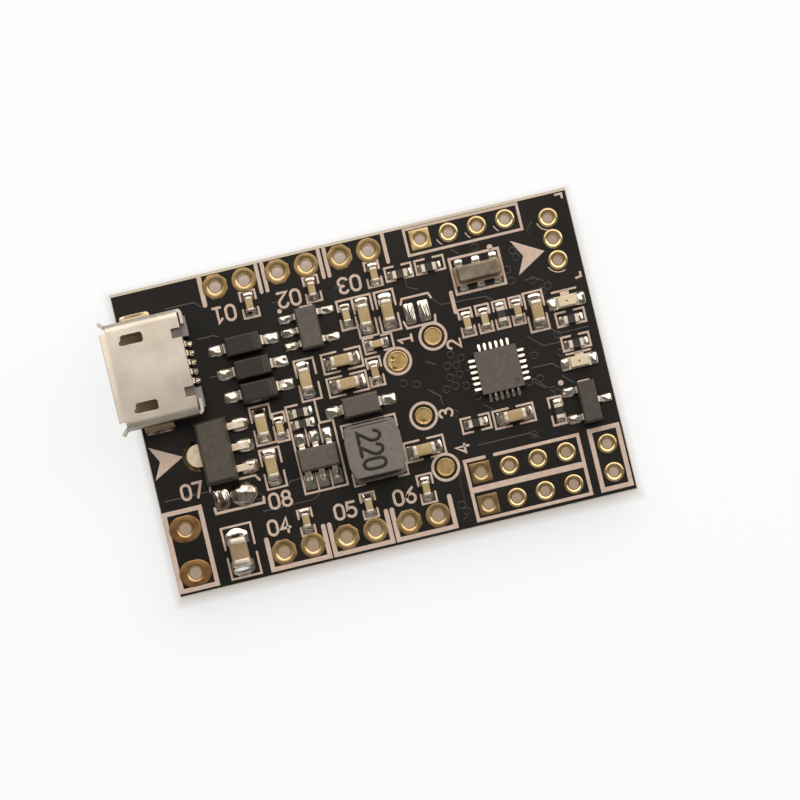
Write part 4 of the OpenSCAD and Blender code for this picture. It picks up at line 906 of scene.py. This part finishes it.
FINISHES = {
    "solder_mask": board_finish(),
    "gold_lands": finish("gold_plate", "#e2c98e", "#b39a64", (0.34, 0.5), bump=0.15, **GILT),
    "solder": finish("solder_metal", "#f4f1ea", "#c9c4ba", (0.1, 0.24), **SOLDERED),
    # Painted shade on the port's shell: from just below its top down to 2 mm the colour darkens, standing for the shade
    # on the rounded lower edges and sides. Below 1.2 mm it turns a warm light tone again, and the rear wings and the
    # lips are kept a plain light colour, out of the painted shade.
    "nickel_shell": recoloured(
        finish("nickel_sheet", "#efeae1", "#d6d1c8", (0.42, 0.52), 1.0, 420, 3.2, 9000, 0.04),
        ("Z", TOP + 2.46, TOP + 2.0, "#857a6b"), ("Z", TOP + 1.2, TOP + 0.8, "#e2d0b2"),
        ("X", PORT_REAR - 0.03, PORT_REAR, "#e9e3d9"), ("X", SHELL_FRONT + 0.02, SHELL_FRONT - 0.05, "#e9e3d9"),
    ),
    "port_plastic": recoloured(
        finish("port_plastic", "#7e715f", "#685b4a", (0.35, 0.5)),
        ("X", -13.41, -13.4, "#77706c"), ("X", -11.86, -11.85, "#a3a3a8"),
    ),
    "port_contacts": finish("contact_plate", "#f0eadb", "#d8cba8", (0.2, 0.35), 1.0),
    "package_grey": finish("package_grey", "#716d68", "#5d5955", (0.5, 0.7), **MOULDED),
    "package_black": finish("package_black", "#5b5753", "#4b4744", (0.45, 0.65), **MOULDED),
    "tinned_leads": finish("tinned_lead", "#f6f2ea", "#ddd6ca", (0.32, 0.48), **PLATED),
    "ferrite": finish("ferrite", "#8f8a86", "#7b7774", (0.5, 0.75), 0.0, 3000, 2.0, 22000, 0.2),
    "magnet_wire": finish("magnet_wire", "#c07a44", "#7a4220", (0.25, 0.4), 1.0),
    "resin": finish("resin", "#4b4845", "#33302e", (0.5, 0.7)),
    "resonator_ceramic": finish("resonator_base", "#bda68c", "#9a846a", (0.4, 0.6), grain=9000),
    "lid_metal": finish("lid_metal", "#a39b8c", "#7d7568", (0.26, 0.38), 1.0, grain=9000, bump=0.03),
    "lamp_board": finish("lamp_board", "#efe6cc", "#d9cba8", (0.4, 0.6)),
    "lamp_lens": finish("lamp_lens", "#fff6dc", "#fbeccb", (0.15, 0.3), Specular_IOR_Level=0.8),
    "capacitor_ceramic": finish("capacitor_ceramic", "#d5c397", "#bba478", (0.35, 0.55), **FIRED),
    "chip_ends": finish("chip_end", "#f7f2e8", "#ddd5c8", (0.4, 0.55), **PLATED),
    "alumina": finish("alumina", "#e8e5de", "#cfcac0", (0.5, 0.7)),
    "resistor_glass": finish("resistor_glass", "#4a4641", "#37332f", (0.25, 0.4)),
}
PRINT = finish("print_ink", "#ecdbcf", "#dbc6ba", (0.55, 0.75), **INKED | {"bump": 0.2})
COVERED = finish(
    "covered_copper", "#2c2a27", "#211f1d", (0.24, 0.36), contrast=2.0, grain=9000, Specular_IOR_Level=0.6,
)
MARK = finish("black_mark", "#262422", "#171615", (0.4, 0.6), **INKED)
BAND = finish("etched_band", "#66615d", "#4c4845", (0.5, 0.7), **INKED)


def eyelet_gold(name, light, dark, dull):
    """Gold of the plated holes, bright in the bores, with two darker colours of painted shade on the lands."""
    return shade_painted_lands(finish(name, "#f2dfb2", "#cfb582", (0.1, 0.2), 0.8, grain=9000, bump=0.04), light, dark, dull)


PIN = eyelet_gold("pin_gold", "#e4cf9c", "#bfa471", 0.33)
DULL = eyelet_gold("dull_gold", "#a58a62", "#7f6645", 0.33)
MOTOR = eyelet_gold("motor_gold", "#b49a6f", "#8d7450", 0.4)
BATTERY = eyelet_gold("battery_gold", "#a98558", "#7d5a38", 0.38)
DIODE = recoloured(
    finish("diode_moulding", "#34312e", "#272523", (0.3, 0.45), **MOULDED | {"bump": 0.2}), ("X", -4.1, -4, "#6a6560"),
)
CONTACT = finish("contact_gold", "#dec48f", "#bda16d", (0.28, 0.4), 1.0, 1500, 2.0, 6000, 0.02)
BROWN = finish("supply_ceramic", "#bba588", "#a08a6a", (0.35, 0.55), **FIRED)
TAB = finish("tab_tin", "#fff7e8", "#eadcc2", (0.42, 0.55), **PLATED | {"cloud": 2600})
# The solder round the tab gets a dark colour: painted shade for the dark reflections of that ring.
SEAM = finish("tab_solder", "#a8976c", "#574c34", (0.14, 0.3), **SOLDERED)
PALE = finish("pale_gold", "#f1e8cd", "#d3bd86", (0.34, 0.48), bump=0.12, **GILT)
SELECTOR = finish("selector_metal", "#f4efe8", "#7d6c5e", (0.08, 0.24), 1.0, 1900, 3.2, 5200, 0.2, 0.04)
STAINED = finish("stained_solder", "#bdb2a7", "#6d5c50", (0.2, 0.4), 1.0, 2600, 3.5, 5200, 0.3, 0.05)
REGULATOR = finish("regulator_moulding", "#615d54", "#4f4b44", (0.5, 0.7), **MOULDED)
DIE = finish("lamp_die", "#a8875a", "#8a6a40", (0.3, 0.5))
GREEN = finish("green_mark", "#7fb46a", "#5c9448", (0.4, 0.6))

OWN = {"diode_bodies": DIODE, "regulator_body": REGULATOR, "regulator_leads": TAB}

for subpart in frame["record"]["subparts"]:
    body = nodes[subpart["node"]]
    for place in body.material_slots:
        place.material = OWN.get(subpart["node"], FINISHES[subpart["material_slot"]])


# Pieces

make_piece("print", print_patches(), PRINT, facing=1, sharp=30)
make_piece("tracks", track_patches(), COVERED, facing=1, sharp=60)
# Bore and width of a motor's and a pin's plated hole, the wider mouth of a motor's, and the step to its second hole
MOTOR_BORE, MOTOR_LAND, MOTOR_MOUTH, MOTOR_STEP = 0.82, 1.7, 0.25, 2.03
PIN_BORE, PIN_LAND = 0.7, 1.4


def pin_holes(name, squares, crowns, gold):
    """The plated holes of a header, whose first lands may be square."""
    forms = ((squares, "square"), (crowns, "crown"))
    patches = [plated_holes(places, PIN_BORE, form, PIN_LAND) for places, form in forms if places]
    make_piece(name + "_holes", patches, gold, [name + "_eyelets"])


make_piece("motor_holes", [
    plated_holes(MOTOR_FIRST, MOTOR_BORE, "octagon", MOTOR_LAND, MOTOR_MOUTH),
    plated_holes([(x + MOTOR_STEP, y) for x, y in MOTOR_FIRST], MOTOR_BORE, "round", MOTOR_LAND, MOTOR_MOUTH),
], MOTOR, ["motor_eyelets"])
make_piece(
    "battery_holes", [plated_holes([(-14.71, -9.2), (-14.71, -6.1)], 0.84, "slot", (2.2, 1.8))],
    BATTERY, ["battery_eyelets"],
)
pin_holes("four_pin", FOUR_PIN[:1], FOUR_PIN[1:], PIN)
pin_holes("three_pin", [], THREE_PIN, PIN)
pin_holes("eight_pin", [row[0] for row in EIGHT_PIN], [place for row in EIGHT_PIN for place in row[1:]], DULL)
pin_holes("two_pin", [], TWO_PIN, PIN)


def modify(piece, name, kind, **settings):
    """Adds a live modifier with its settings."""
    added = piece.modifiers.new(name, kind)
    for key, value in settings.items():
        setattr(added, key, value)


shell = make_piece("port_shell", shell_patches(), FINISHES["nickel_shell"], ["usb_shell"], facing=0)
modify(shell, "sheet", "SOLIDIFY", thickness=SHELL_SHEET * MM, offset=-1, use_even_offset=True)
modify(
    shell, "worn", "BEVEL", width=0.035 * MM, segments=2, limit_method="ANGLE", angle_limit=math.radians(50),
    harden_normals=True,
)
make_piece("test_contacts", contact_patches(), CONTACT, ["test_lands"], facing=1, sharp=70)

silver = FINISHES["solder"]
for name, angle, metal, slot in (("leg_gold", 90, PALE, "gold_lands"), ("leg_solder", 270, STAINED, "solder")):
    leg_joint = fillets(seats(LEGS_AT, (angle,)), (3.57, 4.22, 2.1), 4, 0.22)
    make_piece(name, [leg_joint], metal, facing=1, sharp=70)
make_piece("tab_ring", [tab_ring()], SEAM, facing=1)
make_piece("upper_fillets", upper_solder(), silver, ["solder_joints"], facing=1, sharp=70)
make_piece("lower_fillets", lower_solder(), silver, ["underside_joints"], facing=-1, sharp=70)
make_piece("selector_solder", [
    drop(-10.22, -4.67, 1.96, 1.64, 0.48, 2.2, 0.025), drop(-11.79, -4.67, 1.14, 1.5, 0.12, 3.4, 0.04, 0.035),
], SELECTOR, ["solder_bridge"], facing=1, sharp=70)
make_piece("jumper_solder", [
    drop(3.7, 4.73, 0.72, 1.48, 0.13, 7, 0.0, 0.03), drop(4.7, 4.73, 0.8, 1.48, 0.13, 7, 0.0, 0.03),
], silver, ["jumper_lands"], facing=1, sharp=70)

chip_bodies, chip_caps = zip(
    chips(MEDIUM, *MEDIUM_CHIP), chips(SMALL, *SMALL_CHIP), chips(DECOUPLING, *SMALL_CHIP, True),
)
supply_body, supply_caps = chips(SUPPLY, *SUPPLY_CHIP)
make_piece("chip_bodies", chip_bodies, FINISHES["capacitor_ceramic"], [
    "medium_capacitor_bodies", "small_capacitor_bodies",
], sharp=50)
make_piece("supply_body", [supply_body], BROWN, ["supply_capacitor_body"], sharp=50)
make_piece("chip_caps", [*chip_caps, supply_caps], FINISHES["chip_ends"], [
    "supply_capacitor_ends", "medium_capacitor_ends", "small_capacitor_ends",
], sharp=50)

diode_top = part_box("diode_bodies")[1].z / MM
make_piece("diode_bands", [
    stroke([(x + shift, y - 0.5), (x + shift, y + 0.5)], 0.06, 0.006, diode_top)
    for x, y, _ in DIODES[:3] for shift in (0.8, 0.95, 1.1)
], BAND, facing=1)
core_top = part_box("inductor_core")[1].z / MM
make_piece(
    "inductor_number", number("220", -1.0, -3.86, 1.52, 0.24, -90, 0.008, core_top, 0.73), MARK, facing=1,
)
lens_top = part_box("lamp_lenses")[1].z / MM
dies = [spot(circle(x, y, 0.08, 16), 0.004, lens_top) for x, y, _ in LAMPS]
make_piece("lamp_dies", dies, DIE, facing=1)
make_piece("lamp_mark", [spot(circle(15.06, 2.78, 0.09, 20), 0.01, lens_top - 0.4)], GREEN, facing=1)


# Softened edges on the carried-over bodies

def soften(width, *names):
    """Merges a node's loose triangles and rounds its edges with live modifiers, leaving its own mesh as it is."""
    for name in names:
        modify(nodes[name], "weld", "WELD", merge_threshold=10 * MERGE)
        modify(nodes[name], "flat", "DECIMATE", decimate_type="DISSOLVE", angle_limit=math.radians(1))
        modify(
            nodes[name], "round_off", "BEVEL", width=width * MM, segments=2, limit_method="ANGLE",
            angle_limit=math.radians(30),
        )


soften(0.05, "regulator_body", "low_dropout_body", "boost_converter_body", "transistor_body")
soften(0.09, "diode_bodies")
soften(0.03, "motion_sensor_body", "processor_body", "motor_switch_bodies", "lamp_lenses")
soften(0.04, "resonator_lid")
soften(0.03, "regulator_leads", "low_dropout_leads", "boost_converter_leads", "transistor_leads", "diode_leads")
soften(0.12, "inductor_core")


# Stage, light and camera

TURN, TILT = math.radians(13.43), math.radians(3.5)
image_right = np.array([math.cos(TURN), -math.sin(TURN), 0])
image_up = np.array([math.sin(TURN), math.cos(TURN), 0])
upward = np.array([0, 0, 1])
aim = np.array([1.663, -0.898, TOP])
DISTANCE, FRAME_WIDTH, SENSOR = 300, 54.9, 36


def aimed(obj, place, target, roll_up):
    """Stands an object at a place, looking at a target, with an upward direction for its picture."""
    back = np.asarray(place, float) - target
    back /= np.linalg.norm(back)
    across = np.cross(roll_up, back)
    across /= np.linalg.norm(across)
    matrix = np.eye(4)
    matrix[:3] = np.stack([across, np.cross(back, across), back, np.asarray(place) * MM], 1)
    obj.matrix_world = Matrix(matrix.tolist())
    bpy.context.scene.collection.objects.link(obj)


# Half of the board's outline as the paper sees it, and where, past that outline, the painted shadow beneath the board
# starts to give way to the glow and where the glow is full
PAPER_HALF, SHADOW_TO_GLOW = {"X": 16, "Y": 10.6}, (-0.6, 0.8)


def paper_finish():
    """Pale paper that glows, with a painted shadow beneath the board: there it glows less and warmer, by how far a
    point lies past the board's outline.
    """
    made = bpy.data.materials.new("pale_paper")
    made.use_nodes = True
    tree = made.node_tree
    size = put(tree, "VectorMath", {0: put(tree, "TexCoord").outputs["Object"]}, operation="ABSOLUTE")
    parts = put(tree, "SeparateXYZ", {"Vector": size.outputs["Vector"]}).outputs
    past = worked(tree, "MAXIMUM", *(
        worked(tree, "SUBTRACT", parts[axis], half * MM) for axis, half in PAPER_HALF.items()
    ))
    out_of_shadow = ranged(tree, past, SHADOW_TO_GLOW[0] * MM, SHADOW_TO_GLOW[1] * MM)
    feed(tree, shader_of(made), {
        # The dim warm glow is the painted shadow beneath the board; the pale one is the open paper.
        "Emission Color": mixed(tree, out_of_shadow, (0.33, 0.24, 0.165, 1), (0.77, 0.77, 0.77, 1)),
        "Base Color": (0.26, 0.29, 0.325, 1), "Roughness": 0.9, "Emission Strength": 1,
    })
    return made


lens = bpy.data.cameras.new("camera")
lens.sensor_width = SENSOR
lens.lens = SENSOR * DISTANCE / FRAME_WIDTH
lens.clip_start, lens.clip_end = 0.001, 10
camera = bpy.data.objects.new("camera", lens)
aimed(camera, aim + DISTANCE * (math.cos(TILT) * upward - math.sin(TILT) * image_up), aim, image_up)
bpy.context.scene.camera = camera

WARM = (1, 0.9, 0.8)


def soft_light(name, place, wide, high, power):
    """A soft light looking at the board's middle."""
    lamp = bpy.data.lights.new(name, "AREA")
    lamp.shape = "RECTANGLE"
    lamp.size, lamp.size_y = wide * MM, high * MM
    lamp.energy = power
    lamp.color = WARM
    aimed(bpy.data.objects.new(name, lamp), place, np.array([0, 0, TOP]), image_up + [0, 0, 0.01])


soft_light("key", 209 * image_up + 40 * image_right + 268 * upward, 680, 346, 1.5)
soft_light("fill", -300 * image_up - 60 * image_right + 180 * upward, 500, 60, 0.055)

world = bpy.data.worlds.new("studio")
world.use_nodes = True
world.node_tree.nodes["Background"].inputs["Color"].default_value = (*WARM, 1)
world.node_tree.nodes["Background"].inputs["Strength"].default_value = 0.15
bpy.context.scene.world = world

FLOOR_LINES = 9
reach = np.linspace(-400, 400, FLOOR_LINES)
ground = np.stack([*np.meshgrid(reach, reach, indexing="ij"), np.zeros((FLOOR_LINES, FLOOR_LINES))], -1)
floor_mesh = bpy.data.meshes.new("floor")
floor_cells = cells(FLOOR_LINES, FLOOR_LINES, False, False)[:, ::-1]
floor_mesh.from_pydata((ground.reshape(-1, 3) * MM).tolist(), [], floor_cells.tolist())
floor = bpy.data.objects.new("floor", floor_mesh)
floor_mesh.materials.append(paper_finish())
bpy.context.scene.collection.objects.link(floor)

bpy.context.scene.view_settings.view_transform = "Standard"
